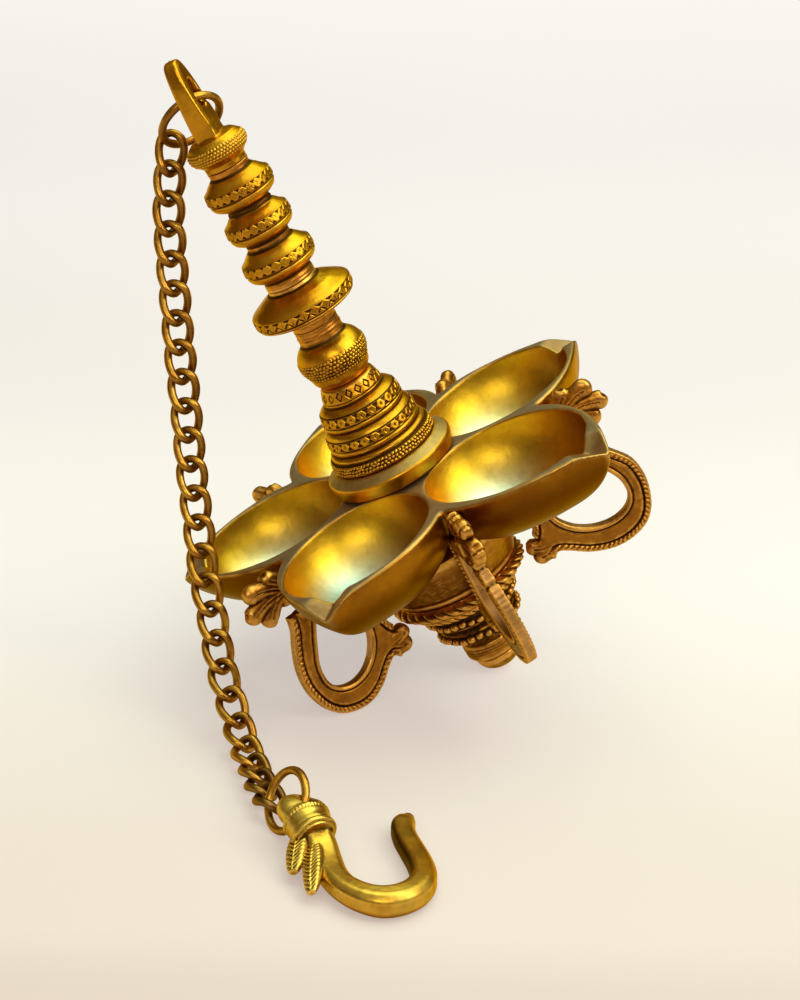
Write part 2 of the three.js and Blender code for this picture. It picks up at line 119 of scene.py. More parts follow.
def hollowness(v, f, scale, rounds):
    """How far each point lies in a hollow (positive) or on an edge, -1 to 1."""
    n = normals(v, f)
    s = smoothed(v, f, rounds)
    return np.clip(((s - v) * n).sum(1) / scale, -1, 1)


def build(name, v, f, body, nodes, material, extra=None, cav=None, parts=None):
    """A mesh from numpy vertices (row frame, metres) and quads, riding on body."""
    if parts:
        allv, allf, at = [v], [f], len(v)
        cavs = [cav if cav is not None else hollowness(v, f, 0.00035, 10)]
        ex = {k: [x] for k, x in (extra or {}).items()}
        for pv, pf, pe in parts:
            allv.append(pv)
            allf.append(pf + at)
            at += len(pv)
            cavs.append(hollowness(pv, pf, 0.00035, 10))
            for k in ex:
                ex[k].append(pe.get(k, np.zeros(len(pv))))
        v, f, cav = np.concatenate(allv), np.concatenate(allf), np.concatenate(cavs)
        extra = {k: np.concatenate(x) for k, x in ex.items()}
    if cav is None:
        cav = hollowness(v, f, 0.00035, 10)
    me = bpy.data.meshes.new(name)
    me.vertices.add(len(v))
    me.vertices.foreach_set("co", v.astype(np.float32).ravel())
    use = f != np.roll(f, -1, 1)  # a quad with a repeated corner is a triangle
    start = np.r_[0, np.cumsum(use.sum(1))[:-1]]
    corners = f[use]
    me.loops.add(len(corners))
    me.loops.foreach_set("vertex_index", corners.astype(np.int32))
    me.polygons.add(len(f))
    me.polygons.foreach_set("loop_start", start.astype(np.int32))
    me.update(calc_edges=True)
    me.shade_smooth()
    painted_underside_shade = 1 - step(-0.42, 0.28, normals(v, f)[:, 2])  # painted shade: darker where the surface faces down, away from the light
    data = {"cav": cav * 0.5 + 0.5, "painted_underside_shade": painted_underside_shade, "strip": np.zeros(len(v))}
    data.update(extra or {})
    for key, val in data.items():
        att = me.attributes.new(key, "FLOAT", "POINT")
        att.data.foreach_set("value", np.asarray(val, np.float32))
    me.materials.append(material)
    ob = bpy.data.objects.new(name, me)
    bpy.context.scene.collection.objects.link(ob)
    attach(ob, body)
    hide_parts(*nodes)
    return ob


def grid_faces(m, n, wrap_m=True, wrap_n=True):
    """Quads of an m by n grid of vertices, index i * n + j."""
    i = np.arange(m if wrap_m else m - 1)
    j = np.arange(n if wrap_n else n - 1)
    a, b = np.meshgrid(i, j, indexing="ij")
    a, b = a.ravel(), b.ravel()
    a2, b2 = (a + 1) % m, (b + 1) % n
    return np.stack([a * n + b, a2 * n + b, a2 * n + b2, a * n + b2], 1)


def out_facing(v, f):
    """Turns the quads round if the closed mesh faces inwards."""
    a, b, c, d = (v[f[:, i]] for i in range(4))
    vol = (a * np.cross(b, c)).sum() + (a * np.cross(c, d)).sum()
    return f if vol > 0 else f[:, ::-1].copy()


def nets(fun, lo, hi, h):
    """The zero surface of fun(x, y, z) as vertices and quads."""
    lo, hi = np.array(lo, float), np.array(hi, float)
    n = np.ceil((hi - lo) / h).astype(int) + 1
    ax = [lo[i] + h * np.arange(n[i]) for i in range(3)]
    val = fun(ax[0][:, None, None], ax[1][None, :, None], ax[2][None, None, :])
    val = np.broadcast_to(val, tuple(n)).astype(np.float32).copy()
    for i in range(3):  # closed at the box's walls
        s = [slice(None)] * 3
        for e in (0, -1):
            s[i] = e
            val[tuple(s)] = np.maximum(val[tuple(s)], 1e-4)
    neg = val < 0
    c = neg[:-1, :-1, :-1].astype(np.int8)
    for dx, dy, dz in [(1, 0, 0), (0, 1, 0), (0, 0, 1), (1, 1, 0), (1, 0, 1), (0, 1, 1), (1, 1, 1)]:
        c = c + neg[dx : n[0] - 1 + dx, dy : n[1] - 1 + dy, dz : n[2] - 1 + dz]
    cells = np.argwhere((c > 0) & (c < 8))
    index = -np.ones(tuple(n - 1), np.int64)
    index[cells[:, 0], cells[:, 1], cells[:, 2]] = np.arange(len(cells))
    acc, cnt = np.zeros((len(cells), 3)), np.zeros(len(cells))
    corners = [(a, b, d) for a in (0, 1) for b in (0, 1) for d in (0, 1)]
    for p in corners:
        for q in corners:
            if sum(abs(p[i] - q[i]) for i in range(3)) != 1 or p > q:
                continue
            vp = val[cells[:, 0] + p[0], cells[:, 1] + p[1], cells[:, 2] + p[2]]
            vq = val[cells[:, 0] + q[0], cells[:, 1] + q[1], cells[:, 2] + q[2]]
            cross = (vp < 0) != (vq < 0)
            t = np.where(cross, vp / np.where(cross, vp - vq, 1), 0)
            pt = np.array(p)[None] + t[:, None] * (np.array(q) - np.array(p))[None]
            acc += pt * cross[:, None]
            cnt += cross
    v = lo + h * (cells + acc / cnt[:, None])
    faces = []
    for i in range(3):
        j, k = (i + 1) % 3, (i + 2) % 3
        a = [slice(1, -1)] * 3
        b = [slice(1, -1)] * 3
        a[i], b[i] = slice(0, -1), slice(1, None)
        na, nb = neg[tuple(a)], neg[tuple(b)]
        at = np.argwhere(na != nb)
        if not len(at):
            continue
        inward = na[at[:, 0], at[:, 1], at[:, 2]]
        at[:, j] += 1
        at[:, k] += 1
        ids = []
        for dj, dk in ((-1, -1), (0, -1), (0, 0), (-1, 0)):
            w = at.copy()
            w[:, j] += dj
            w[:, k] += dk
            ids.append(index[w[:, 0], w[:, 1], w[:, 2]])
        q = np.stack(ids, 1)
        q[~inward] = q[~inward][:, ::-1]
        faces.append(q)
    return v, np.concatenate(faces)


def waves(x, y, z, size, seed):
    """A smooth unevenness made of a few sines, about -1 to 1."""
    rng = np.random.RandomState(seed)
    s = 0
    for _ in range(7):
        d = unit(rng.normal(size=3)) * (2 * math.pi / size) * rng.uniform(0.6, 1.6)
        s = s + np.sin(d[0] * x + d[1] * y + d[2] * z + rng.uniform(0, 6.28))
    return s / 4.0


# ---- finishes --------------------------------------------------------------------
def finish_of(
    name,
    base,
    tint,
    dark,
    edge,
    rough=0.33,
    depth=0.0002,
    grain=520.0,
    mottle=70.0,
    cav=(0.5, 0.78),
    worn=(0.40, 0.12),
    zones=(),
    scratch=0.25,
    lump=0.8,
    bump_strength=0.4,
    rub=0.60,
    speck=0.32,
):
    """Aged brass: colour that wanders between two golds, dark in the hollows,
    brighter on rubbed edges, with fine cast grain. zones: (attribute, colour, roughness)."""
    mat = bpy.data.materials.new(name)
    mat.use_nodes = True
    nt = mat.node_tree
    nt.nodes.clear()
    new = nt.nodes.new
    link = nt.links.new
    out = new("ShaderNodeOutputMaterial")
    sh = new("ShaderNodeBsdfPrincipled")
    link(sh.outputs[0], out.inputs[0])
    sh.inputs["Metallic"].default_value = 1.0
    sh.inputs["Specular Tint"].default_value = (1.0, 0.76, 0.34, 1.0)
    co = new("ShaderNodeTexCoord").outputs["Object"]

    def noise(scale, detail=4.0, distort=0.0):
        n = new("ShaderNodeTexNoise")
        n.inputs["Scale"].default_value = scale
        n.inputs["Detail"].default_value = detail
        n.inputs["Distortion"].default_value = distort
        link(co, n.inputs["Vector"])
        return n.outputs["Fac"]

    def ramp(x, lo, hi, a=0.0, b=1.0):
        m = new("ShaderNodeMapRange")
        m.interpolation_type = "SMOOTHSTEP"
        m.inputs["From Min"].default_value = lo
        m.inputs["From Max"].default_value = hi
        m.inputs["To Min"].default_value = a
        m.inputs["To Max"].default_value = b
        link(x, m.inputs["Value"])
        return m.outputs["Result"]

    def mix(fac, a, b, mode="MIX"):
        m = new("ShaderNodeMix")
        m.data_type = "RGBA"
        m.blend_type = mode
        for sock, val in ((m.inputs["Factor"], fac), (m.inputs["A"], a), (m.inputs["B"], b)):
            if isinstance(val, bpy.types.NodeSocket):
                link(val, sock)
            elif isinstance(val, (int, float)):
                sock.default_value = val
            else:
                sock.default_value = (*val, 1.0)
        return m.outputs["Result"]

    def maths(op, a, b):
        m = new("ShaderNodeMath")
        m.operation = op
        for sock, val in ((m.inputs[0], a), (m.inputs[1], b)):
            if isinstance(val, bpy.types.NodeSocket):
                link(val, sock)
            else:
                sock.default_value = val
        return m.outputs[0]

    def attribute(key):
        a = new("ShaderNodeAttribute")
        a.attribute_name = key
        return a.outputs["Fac"]

    wander = noise(mottle, 5.0, 0.4)
    colour = mix(ramp(wander, 0.35, 0.68), base, tint)
    roughness = ramp(noise(mottle * 2.3, 6.0), 0.3, 0.75, rough - 0.05, rough + 0.09)
    for key, zone_colour, zone_rough in zones:
        w = attribute(key)
        colour = mix(w, colour, zone_colour)
        m = new("ShaderNodeMix")
        m.data_type = "FLOAT"
        link(w, m.inputs["Factor"])
        link(roughness, m.inputs["A"])
        m.inputs["B"].default_value = zone_rough
        roughness = m.outputs["Result"]
    c = attribute("cav")
    broken = maths("ADD", c, ramp(noise(mottle * 6, 4.0), 0.25, 0.8, -0.07, 0.07))
    colour = mix(ramp(broken, worn[0], worn[1], 0.0, rub), colour, edge)
    colour = mix(ramp(broken, cav[0], cav[1], 0.0, 0.93), colour, dark)
    specks = ramp(noise(grain * 2.2, 3.0), 0.66, 0.78, 0.0, speck)
    colour = mix(specks, colour, dark)
    colour = mix(ramp(noise(grain * 0.6, 5.0), 0.42, 0.72, 0.0, speck * 0.6), colour, dark)
    link(colour, sh.inputs["Base Color"])
    roughness = maths("ADD", roughness, ramp(broken, cav[0], cav[1], 0.0, 0.22))
    link(roughness, sh.inputs["Roughness"])
    bump = new("ShaderNodeBump")
    bump.inputs["Strength"].default_value = bump_strength
    bump.inputs["Distance"].default_value = depth
    fine = maths("ADD", noise(grain, 6.0), maths("MULTIPLY", noise(grain * 0.25, 3.0), lump))
    if scratch:
        st = new("ShaderNodeMapping")
        st.inputs["Scale"].default_value = (900.0, 60.0, 900.0)
        st.inputs["Rotation"].default_value = (0.3, 0.5, 0.7)
        link(co, st.inputs["Vector"])
        n = new("ShaderNodeTexNoise")
        n.inputs["Scale"].default_value = 1.0
        n.inputs["Detail"].default_value = 2.0
        link(st.outputs[0], n.inputs["Vector"])
        fine = maths("ADD", fine, maths("MULTIPLY", n.outputs["Fac"], scratch))
    link(fine, bump.inputs["Height"])
    link(bump.outputs[0], sh.inputs["Normal"])
    return mat


GOLD = (0.74, 0.385, 0.018)
AMBER = (0.50, 0.210, 0.008)
BRIGHT = (0.88, 0.60, 0.13)
COPPER = (0.62, 0.240, 0.030)
UMBER = (0.036, 0.014, 0.005)
BEIGE = (0.37, 0.265, 0.135)
m_turned = finish_of(
    "turned_brass", GOLD, (0.60, 0.26, 0.012), UMBER, BRIGHT, rough=0.32, mottle=55.0, rub=0.5,
    zones=(
        # painted shade: a darker gold on surfaces that face down
        ("painted_underside_shade", (0.54, 0.225, 0.012), 0.36), ("neck", COPPER, 0.36),
        ("pale", (0.50, 0.33, 0.10), 0.48),
    ),
)
m_dish = finish_of(
    "dish_brass", AMBER, (0.34, 0.125, 0.006), UMBER, (0.60, 0.40, 0.12), rough=0.33, cav=(0.62, 0.95),
    worn=(0.40, 0.1), mottle=30.0, scratch=0.5, lump=0.2, bump_strength=0.32, speck=0.26,
    zones=(
        # painted shade on down-facing surfaces and on the hollows' left-facing and upper walls; a painted pale
        # greenish highlight low in each hollow
        ("painted_underside_shade", (0.13, 0.038, 0.002), 0.36), ("inside", (0.82, 0.52, 0.026), 0.40),
        ("painted_hollow_shade", (0.28, 0.11, 0.008), 0.40), ("painted_highlight", (0.66, 0.96, 0.90), 0.40),
        ("rim", BEIGE, 0.55),
    ),
)
m_patina = finish_of(
    "patina_brass", (0.48, 0.185, 0.014), (0.27, 0.088, 0.010), (0.020, 0.008, 0.003),
    (0.78, 0.40, 0.075), rough=0.36, mottle=110.0, cav=(0.5, 0.70), worn=(0.47, 0.25), rub=0.75, speck=0.42,
    zones=(
        # painted shade: a dark brown on surfaces that face down
        ("plain", (0.46, 0.185, 0.016), 0.36), ("painted_underside_shade", (0.14, 0.046, 0.005), 0.40),
        ("strip", (0.50, 0.27, 0.095), 0.46),
    ),
)
m_chain = finish_of(
    "chain_brass", (0.64, 0.35, 0.046), (0.46, 0.20, 0.022), (0.10, 0.045, 0.016),
    (0.70, 0.50, 0.16), rough=0.35, mottle=160.0, cav=(0.5, 0.95), worn=(0.3, 0.0),
    # painted shade on surfaces that face down and on the links' inner faces
    zones=(("painted_underside_shade", (0.26, 0.11, 0.02), 0.4), ("shade", (0.11, 0.052, 0.024), 0.42)),
)
m_hook = finish_of(
    "hook_brass", (0.75, 0.51, 0.080), (0.70, 0.34, 0.022), UMBER, BRIGHT, rough=0.36, speck=0.40,
    mottle=45.0, cav=(0.52, 0.78),
    # painted shade on surfaces that face down and on the bar's inner wall
    zones=(("painted_underside_shade", (0.42, 0.185, 0.018), 0.4), ("shade", (0.050, 0.019, 0.006), 0.52)),
)
m_rod = finish_of(
    "rod_brass", (0.42, 0.26, 0.06), (0.36, 0.20, 0.04), UMBER, GOLD, rough=0.4
)


# ---- turned and engraved pieces ---------------------------------------------------
def frac(x):
    return x - np.floor(x)


def ornament(kind, s, t, theta, n, hb, r):
    """Height of a band pattern, 0 sunk to 1 proud. s and t run -0.5..0.5 and -1..1."""
    a, b = np.abs(s), np.abs(t)
    if kind == "cross":  # opposed triangular pits that leave a row of crosses
        pit = step(0.0, 0.16, (b - 0.20) * 0.52 - a) * (1 - step(0.86, 0.98, b))
        cut = (1 - step(0.0, 0.07, np.abs(2 * (0.5 - a) - b * 0.62 - 0.10))) * (1 - step(0.7, 0.9, b))
        return 1 - np.maximum(pit, 0.35 * cut)
    if kind == "triangles":  # a pointed pit above, a triangle with a small one in it below
        up = step(0.02, 0.12, (t - 0.10) * 0.58 - a) * (t > 0)
        tri = step(0.02, 0.10, (-t + 0.30) * 0.42 - a) * (t < 0.3)
        core = step(0.02, 0.08, (-t + 0.02) * 0.30 - a) * (t < 0.0)
        low = tri * (1 - 0.85 * core)
        edge = 1 - step(0.86, 0.97, b)
        slit = (1 - step(0.0, 0.07, np.abs(a - 0.5))) * step(-0.9, 0.3, -t) * 0.6
        return 1 - np.maximum(np.maximum(up, low), slit) * edge
    if kind == "hourglass":  # dark hourglass pits between bright bars
        w = 0.05 + 0.27 * b
        pit = 1 - step(w - 0.07, w + 0.03, a)
        dent = 0.5 * (1 - step(0.05, 0.15, 0.5 - a + 0.22 * b))
        return 1 - np.maximum(pit, dent) * (1 - step(0.88, 0.98, b))
    if kind == "diamonds":  # outlined lozenges with a flat middle
        q = 2.35 * a + b
        return 1 - step(0.46, 0.58, q) * (1 - step(0.84, 0.98, q)) - 0.5 * (1 - step(0.40, 0.56, q))
    if kind in ("granules", "beads"):
        rows = 1 if kind == "beads" else max(2, int(round(2 * hb / (2 * np.pi * r / n * 0.86))))
        y = (t * 0.5 + 0.5) * rows
        row = np.clip(np.floor(y), 0, rows - 1)
        off = np.where(row % 2 == 1, 0.5, 0.0)
        cell = np.floor(theta * n / (2 * np.pi) + off)
        u = frac(theta * n / (2 * np.pi) + off) - 0.5 + 0.15 * np.sin(cell * 12.9 + row * 78.2)
        w = y - row - 0.5 + 0.15 * np.sin(cell * 39.3 + row * 11.1)
        d = np.sqrt(u * u + (w * (1.0 if rows == 1 else 0.92)) ** 2)
        size = 0.44 + 0.05 * np.sin(cell * 7.7 + row * 5.3)
        return np.sqrt(np.maximum(0, 1 - (d / size) ** 2))
    if kind == "beads2":
        y = (t * 0.5 + 0.5) * 2
        row = np.clip(np.floor(y), 0, 1)
        u = frac(theta * n / (2 * np.pi)) - 0.5
        w = y - row - 0.5
        return np.sqrt(np.maximum(0, 1 - ((u * u + w * w) / 0.47**2)))
    if kind == "rope":
        ph = frac(theta * n / (2 * np.pi) + 0.55 * t) - 0.5
        return np.cos(ph * np.pi) ** 0.7 * np.sqrt(np.maximum(0, 1 - t * t))
    if kind == "lines":
        return 0.5 + 0.5 * np.cos(np.pi * t * n)
    raise ValueError(kind)


def turned(profile, around=360, bands=(), zones=None, bore=0.05, fine=0.003, wander=0.0008, grooves=()):
    """profile: [z, r] rising; bands: (z0, z1, kind, n, depth). Returns row-frame mesh."""
    fine = fine * FINE
    around = int(around / FINE)
    p = np.array(profile, float)
    seg = np.r_[0, np.cumsum(np.linalg.norm(np.diff(p, axis=0), axis=1))]
    m = max(8, int(seg[-1] / fine))
    s = np.linspace(0, seg[-1], m)
    z, r = np.interp(s, seg, p[:, 0]), np.interp(s, seg, p[:, 1])
    for _ in range(3):  # edges as soft as worn brass
        z[1:-1] = (z[:-2] + 2 * z[1:-1] + z[2:]) / 4
        r[1:-1] = (r[:-2] + 2 * r[1:-1] + r[2:]) / 4
    if bore:
        inner = np.linspace(z[-1], z[0], 24)
        z = np.r_[z, inner]
        r = np.r_[r, np.full(24, bore)]
    else:
        z, r = np.r_[z[0], z, z[-1]], np.r_[1e-5, r, 1e-5]
    th = np.arange(around) / around * 2 * np.pi
    Z, TH = np.meshgrid(z, th, indexing="ij")
    RR = np.repeat(r[:, None], around, 1)
    outer = RR > (bore + 0.004 if bore else 0.004)
    add = np.zeros_like(RR)
    mark = np.zeros_like(RR)
    for z0, z1, kind, n, depth in bands:
        zc, hb = (z0 + z1) / 2, (z1 - z0) / 2
        t = (Z - zc) / hb
        on = (np.abs(t) <= 1) & outer
        rr = float(np.interp(zc, p[:, 0], p[:, 1]))
        t = np.clip(t, -1, 1)
        hgt = ornament(kind, frac(TH * n / (2 * np.pi)) - 0.5, t, TH, n, hb, rr)
        if kind in ("granules", "beads", "beads2", "rope"):
            d = (hgt - 0.35) * depth
        elif kind == "lines":
            d = (hgt - 0.5) * depth
        else:
            d = (hgt - 1) * depth
        fade = step(0, 0.12, 1 - np.abs(t))
        add = np.where(on, d * (fade if kind != "rope" else 1), add)
        mark = np.where(on, (1 - hgt) * (0.4 if kind == "lines" else 1), mark)
    RR = RR + np.where(outer, add, 0)
    RR = RR + np.where(outer, wander * waves(RR * np.cos(TH), RR * np.sin(TH), Z, 0.25, 3), 0)
    v = np.stack([RR * np.cos(TH), RR * np.sin(TH), Z], -1).reshape(-1, 3)
    f = grid_faces(len(z), around, wrap_m=bool(bore), wrap_n=True)
    if not bore:  # the two ends close in one vertex each
        first, last = v[:1].copy(), v[-1:].copy()
        first[0, :2] = last[0, :2] = 0
        v = np.concatenate([first, v[around:-around], last])
        f = np.clip(f - (around - 1), 0, len(v) - 1)
    v = lamp_to_row(v)
    f = out_facing(v, f)
    cav = hollowness(v, f, 0.0003, 8) * 0.75 + hollowness(v, f, 0.0011, 60) * 0.5
    mk, zz = mark.reshape(-1), Z.reshape(-1)
    if not bore:
        mk, zz = (np.r_[q[:1], q[around:-around], q[-1:]] for q in (mk, zz))
    cav = cav + mk * 0.36 * (mk > 0.25)
    for zg, wg in grooves:  # soot that stays in the turned grooves
        cav = cav + 0.95 * np.exp(-(((zz - zg) / wg) ** 2))
    cav = np.clip(cav, -1, 1)
    extra = {
        k: np.clip(sum((step(a, a + 0.006, zz) * (1 - step(b - 0.006, b, zz)) for a, b in q), np.zeros(len(zz))), 0, 1)
        for k, q in (zones or {}).items()
    }
    return v, f, cav, extra


def collar(z, r, low, high):
    return [
        [z - 0.076, low],
        [z - 0.069, low + 0.004],
        [z - 0.063, r * 0.78],
        [z - 0.052, r * 0.90],
        [z - 0.040, r - 0.007],
        [z - 0.031, r - 0.004],
        [z - 0.0275, r - 0.006],
        [z - 0.0245, r - 0.012],
        [z - 0.0220, r - 0.004],
        [z - 0.0195, r],
        [z + 0.0168, r - 0.004],
        [z + 0.0190, r - 0.010],
        [z + 0.0270, r - 0.020],
        [z + 0.0400, r - 0.033],
        [z + 0.0520, r - 0.047],
        [z + 0.0570, high + 0.004],
        [z + 0.0610, high],
    ]


# upper stem: three collars
prof = [[0.873, 0.1], [0.895, 0.099]]
prof += collar(0.981, 0.147, 0.096, 0.090)
prof += [[1.052, 0.0885]]
prof += collar(1.138, 0.134, 0.0885, 0.0875)
prof += [[1.203, 0.086]]
prof += collar(1.285, 0.138, 0.0855, 0.081)
prof += [[1.356, 0.081], [1.368, 0.083]]
up_bands = []
for zc, n in ((0.981, 24), (1.138, 25), (1.285, 25)):
    up_bands.append((zc - 0.0195, zc + 0.0168, "cross", n, 0.0050))
for a, b, n in ((0.877, 0.903, 2), (1.047, 1.062, 1)):
    up_bands.append((a, b, "lines", n, 0.0009))
up_grooves = [(0.870, 0.004), (1.366, 0.004)]
for zc in (0.981, 1.138, 1.285):
    up_grooves += [(zc - 0.0240, 0.0020), (zc - 0.0185, 0.0012), (zc + 0.0165, 0.0012)]
    up_grooves += [(zc - 0.0740, 0.0050), (zc + 0.0585, 0.0045)]
necks = {"neck": [(0.870, 0.905), (1.036, 1.066), (1.194, 1.212), (1.344, 1.372)]}
v, f, c, e = turned(prof, 480, up_bands, necks, fine=0.0026, grooves=up_grooves)
e["pale"] = np.zeros(len(v))
build("upper_stem_turned", v, f, "lamp", ["upper_stem"], m_turned, e, c)

# wide disc
prof = [
    [0.722, 0.096], [0.726, 0.100], [0.729, 0.130], [0.732, 0.160], [0.737, 0.182],
    [0.743, 0.195], [0.749, 0.201], [0.7525, 0.199], [0.7550, 0.193], [0.7575, 0.202],
    [0.7600, 0.207], [0.7960, 0.207], [0.8000, 0.203], [0.8060, 0.196], [0.8200, 0.172],
    [0.8350, 0.146], [0.8460, 0.122], [0.8530, 0.108], [0.8570, 0.101], [0.8690, 0.0985],
]
v, f, c, e = turned(
    prof, 640, [(0.7605, 0.7955, "triangles", 27, 0.0055)],
    {"neck": [(0.856, 0.873)], "pale": []}, fine=0.0026,
    grooves=[(0.7553, 0.0018), (0.7600, 0.0010), (0.7970, 0.0012), (0.8560, 0.004), (0.7260, 0.003)],
)
build("stem_disc_turned", v, f, "lamp", ["stem_disc"], m_turned, e, c)

# granulated ball and its neck
prof = [[0.436, 0.099], [0.442, 0.104], [0.4500, 0.110], [0.4600, 0.1175]]
for a in np.linspace(-0.62, 0.92, 22):
    prof.append([0.5410 + 0.0800 * math.sin(a), 0.060 + 0.0795 * math.cos(a)])
prof += [
    [0.6130, 0.098], [0.6190, 0.094], [0.6260, 0.0915], [0.6420, 0.0905], [0.6480, 0.093],
    [0.6560, 0.0905], [0.6720, 0.0895], [0.6960, 0.0905], [0.7050, 0.095], [0.7180, 0.097],
]
v, f, c, e = turned(
    prof, 620,
    [(0.482, 0.562, "granules", 58, 0.0046), (0.628, 0.700, "lines", 5, 0.0009)],
    {"neck": [(0.618, 0.715)], "pale": []},
    grooves=[(0.6180, 0.004), (0.4390, 0.004), (0.7180, 0.004), (0.6480, 0.0015), (0.6800, 0.0012)],
)
build("stem_ball_turned", v, f, "lamp", ["stem_ball"], m_turned, e, c)

# stepped cone and flange
prof = [
    [0.004, 0.225], [0.005, 0.240], [0.009, 0.249], [0.018, 0.2540], [0.035, 0.2590],
    [0.0550, 0.2620], [0.0660, 0.2618], [0.0720, 0.2590], [0.0760, 0.2530], [0.0820, 0.2430],
    [0.0900, 0.2290], [0.0960, 0.2190], [0.0990, 0.2130], [0.1010, 0.2095], [0.1030, 0.2125], [0.1060, 0.2170],
    [0.1090, 0.2180], [0.1460, 0.2120], [0.1490, 0.2060], [0.1515, 0.1990], [0.1540, 0.2010],
    [0.1600, 0.2035], [0.1670, 0.2015], [0.1720, 0.1950], [0.1750, 0.1850], [0.1770, 0.1825],
    [0.1790, 0.1840], [0.1830, 0.1895], [0.1900, 0.1915], [0.1980, 0.1900], [0.2010, 0.1850],
    [0.2030, 0.1835], [0.2050, 0.1900], [0.2070, 0.1920], [0.2400, 0.1870], [0.2430, 0.1820],
    [0.2500, 0.1800], [0.2590, 0.1740], [0.2650, 0.1650], [0.2680, 0.1590], [0.2700, 0.1585],
    [0.2730, 0.1640], [0.2790, 0.1690], [0.2880, 0.1695], [0.2915, 0.1650], [0.2935, 0.1635],
    [0.2955, 0.1685], [0.2975, 0.1700], [0.3340, 0.1640], [0.3375, 0.1590], [0.3440, 0.1540],
    [0.3520, 0.1440], [0.3580, 0.1320], [0.3610, 0.1250], [0.3640, 0.1230], [0.3680, 0.1265],
    [0.3730, 0.1270], [0.3755, 0.1225], [0.3775, 0.1245], [0.3800, 0.1260], [0.4230, 0.1110],
    [0.4270, 0.1075], [0.4310, 0.1010],
]
v, f, c, e = turned(
    prof, 760,
    [
        (0.1090, 0.1460, "granules", 84, 0.0056),
        (0.2075, 0.2400, "hourglass", 26, 0.0056),
        (0.2980, 0.3340, "hourglass", 23, 0.0056),
        (0.3800, 0.4230, "diamonds", 18, 0.0056),
    ],
    {"neck": [(0.0, 0.02)], "pale": [(0.0700, 0.098)]},
    fine=0.0024,
    grooves=[
        (0.1015, 0.0026), (0.1070, 0.0014), (0.1480, 0.0016), (0.1520, 0.0026), (0.1765, 0.0028),
        (0.2035, 0.0024), (0.2062, 0.0010), (0.2415, 0.0012), (0.2440, 0.0020), (0.2690, 0.0030),
        (0.2935, 0.0024), (0.2965, 0.0010), (0.3355, 0.0012), (0.3385, 0.0020), (0.3630, 0.0034),
        (0.3760, 0.0016), (0.4290, 0.0030), (0.0100, 0.0060),
    ],
)
build("stem_cone_turned", v, f, "lamp", ["stem_cone"], m_turned, e, c)

# cup, rope ring, boss and foot below the dish
prof = [
    [-0.510, 0.255], [-0.508, 0.262], [-0.500, 0.268], [-0.490, 0.2700], [-0.484, 0.2680],
    [-0.470, 0.2820], [-0.440, 0.2980], [-0.400, 0.3150], [-0.360, 0.3290], [-0.330, 0.3360],
    [-0.310, 0.3395], [-0.302, 0.3380],
]
v, f, c, e = turned(prof, 360, [(-0.478, -0.312, "lines", 17, 0.0004)], {"plain": [(-0.485, -0.30)]}, wander=0.0022)
build("lower_cup_turned", v, f, "lamp", ["lower_cup"], m_patina, e, c)
prof = [
    [-0.566, 0.250], [-0.5645, 0.262], [-0.558, 0.274], [-0.549, 0.2840], [-0.540, 0.2870],
    [-0.531, 0.2845], [-0.522, 0.2760], [-0.5155, 0.262], [-0.514, 0.250],
]
v, f, c, e = turned(prof, 560, [(-0.5635, -0.5165, "rope", 36, 0.013)], {"plain": []})
e["plain"] = np.zeros(len(v))
build("rope_ring_cast", v, f, "lamp", ["rope_ring"], m_patina, e, c)
prof = [
    [-0.884, 0.098], [-0.880, 0.106], [-0.872, 0.1150], [-0.866, 0.1170], [-0.850, 0.1180],
    [-0.847, 0.1150], [-0.843, 0.1180], [-0.812, 0.1180], [-0.806, 0.1160], [-0.800, 0.1080],
    [-0.792, 0.1020], [-0.780, 0.1000], [-0.772, 0.1040], [-0.766, 0.1200], [-0.760, 0.1420],
    [-0.754, 0.1640], [-0.746, 0.1760], [-0.736, 0.1800], [-0.726, 0.1790], [-0.717, 0.1730],
    [-0.710, 0.1650], [-0.702, 0.1620], [-0.694, 0.1640], [-0.684, 0.1740], [-0.672, 0.1880],
    [-0.660, 0.1970], [-0.648, 0.2000], [-0.636, 0.1950], [-0.629, 0.1880], [-0.623, 0.1920],
    [-0.615, 0.2100], [-0.606, 0.2240], [-0.596, 0.2330], [-0.584, 0.2380], [-0.573, 0.2370],
    [-0.570, 0.2300],
]
v, f, c, e = turned(
    prof, 480,
    [
        (-0.751, -0.713, "beads", 30, 0.013),
        (-0.668, -0.632, "beads", 34, 0.012),
        (-0.612, -0.576, "rope", 40, 0.010),
        (-0.842, -0.815, "lines", 2, 0.002),
    ],
    {"plain": [(-0.87, -0.80)]},
)
build("lower_boss_turned", v, f, "lamp", ["lower_boss"], m_patina, e, c)
prof = [
    [-0.955, 0.052], [-0.9535, 0.057], [-0.948, 0.066], [-0.938, 0.0780], [-0.924, 0.0880],
    [-0.910, 0.0940], [-0.898, 0.0965], [-0.890, 0.0950], [-0.888, 0.0880],
]
v, f, c, e = turned(prof, 240, [], {"plain": [(-0.95, -0.888)]}, bore=0)
build("foot_finial_turned", v, f, "lamp", ["foot_finial"], m_patina, e, c)

# ---- dish with five bowls -----------------------------------------------------------
BOWL_AZ = np.radians([-1.6, 70.8, 142.4, 214.4, 286.4])
BOWL_TIP = [0.99, 0.995, 1.05, 0.99, 1.0]
HALF = 0.35
DEPTH = 0.295


def half_width(u, tip):
    t = np.where(u > 0.5, (u - 0.5) / (tip - 0.5), (0.5 - u) / 0.4)
    t = np.clip(t, 0, 1)
    return HALF * np.where(u > 0.5, 1 - t * t, np.sqrt(1 - t * t))


def hollow_half(u, tip, grow):
    """Half width of a bowl's hollow at a distance from the axis."""
    t_in = np.clip((0.545 - u) / (0.325 + grow), 0, 1)
    t_out = np.clip((u - 0.545) / (0.338 * (tip - 0.545) / 0.455 + grow), 0, 1)
    return (0.297 + grow) * np.where(u < 0.545, np.sqrt(1 - t_in**2), (1 - t_out**2.15) ** 0.58)


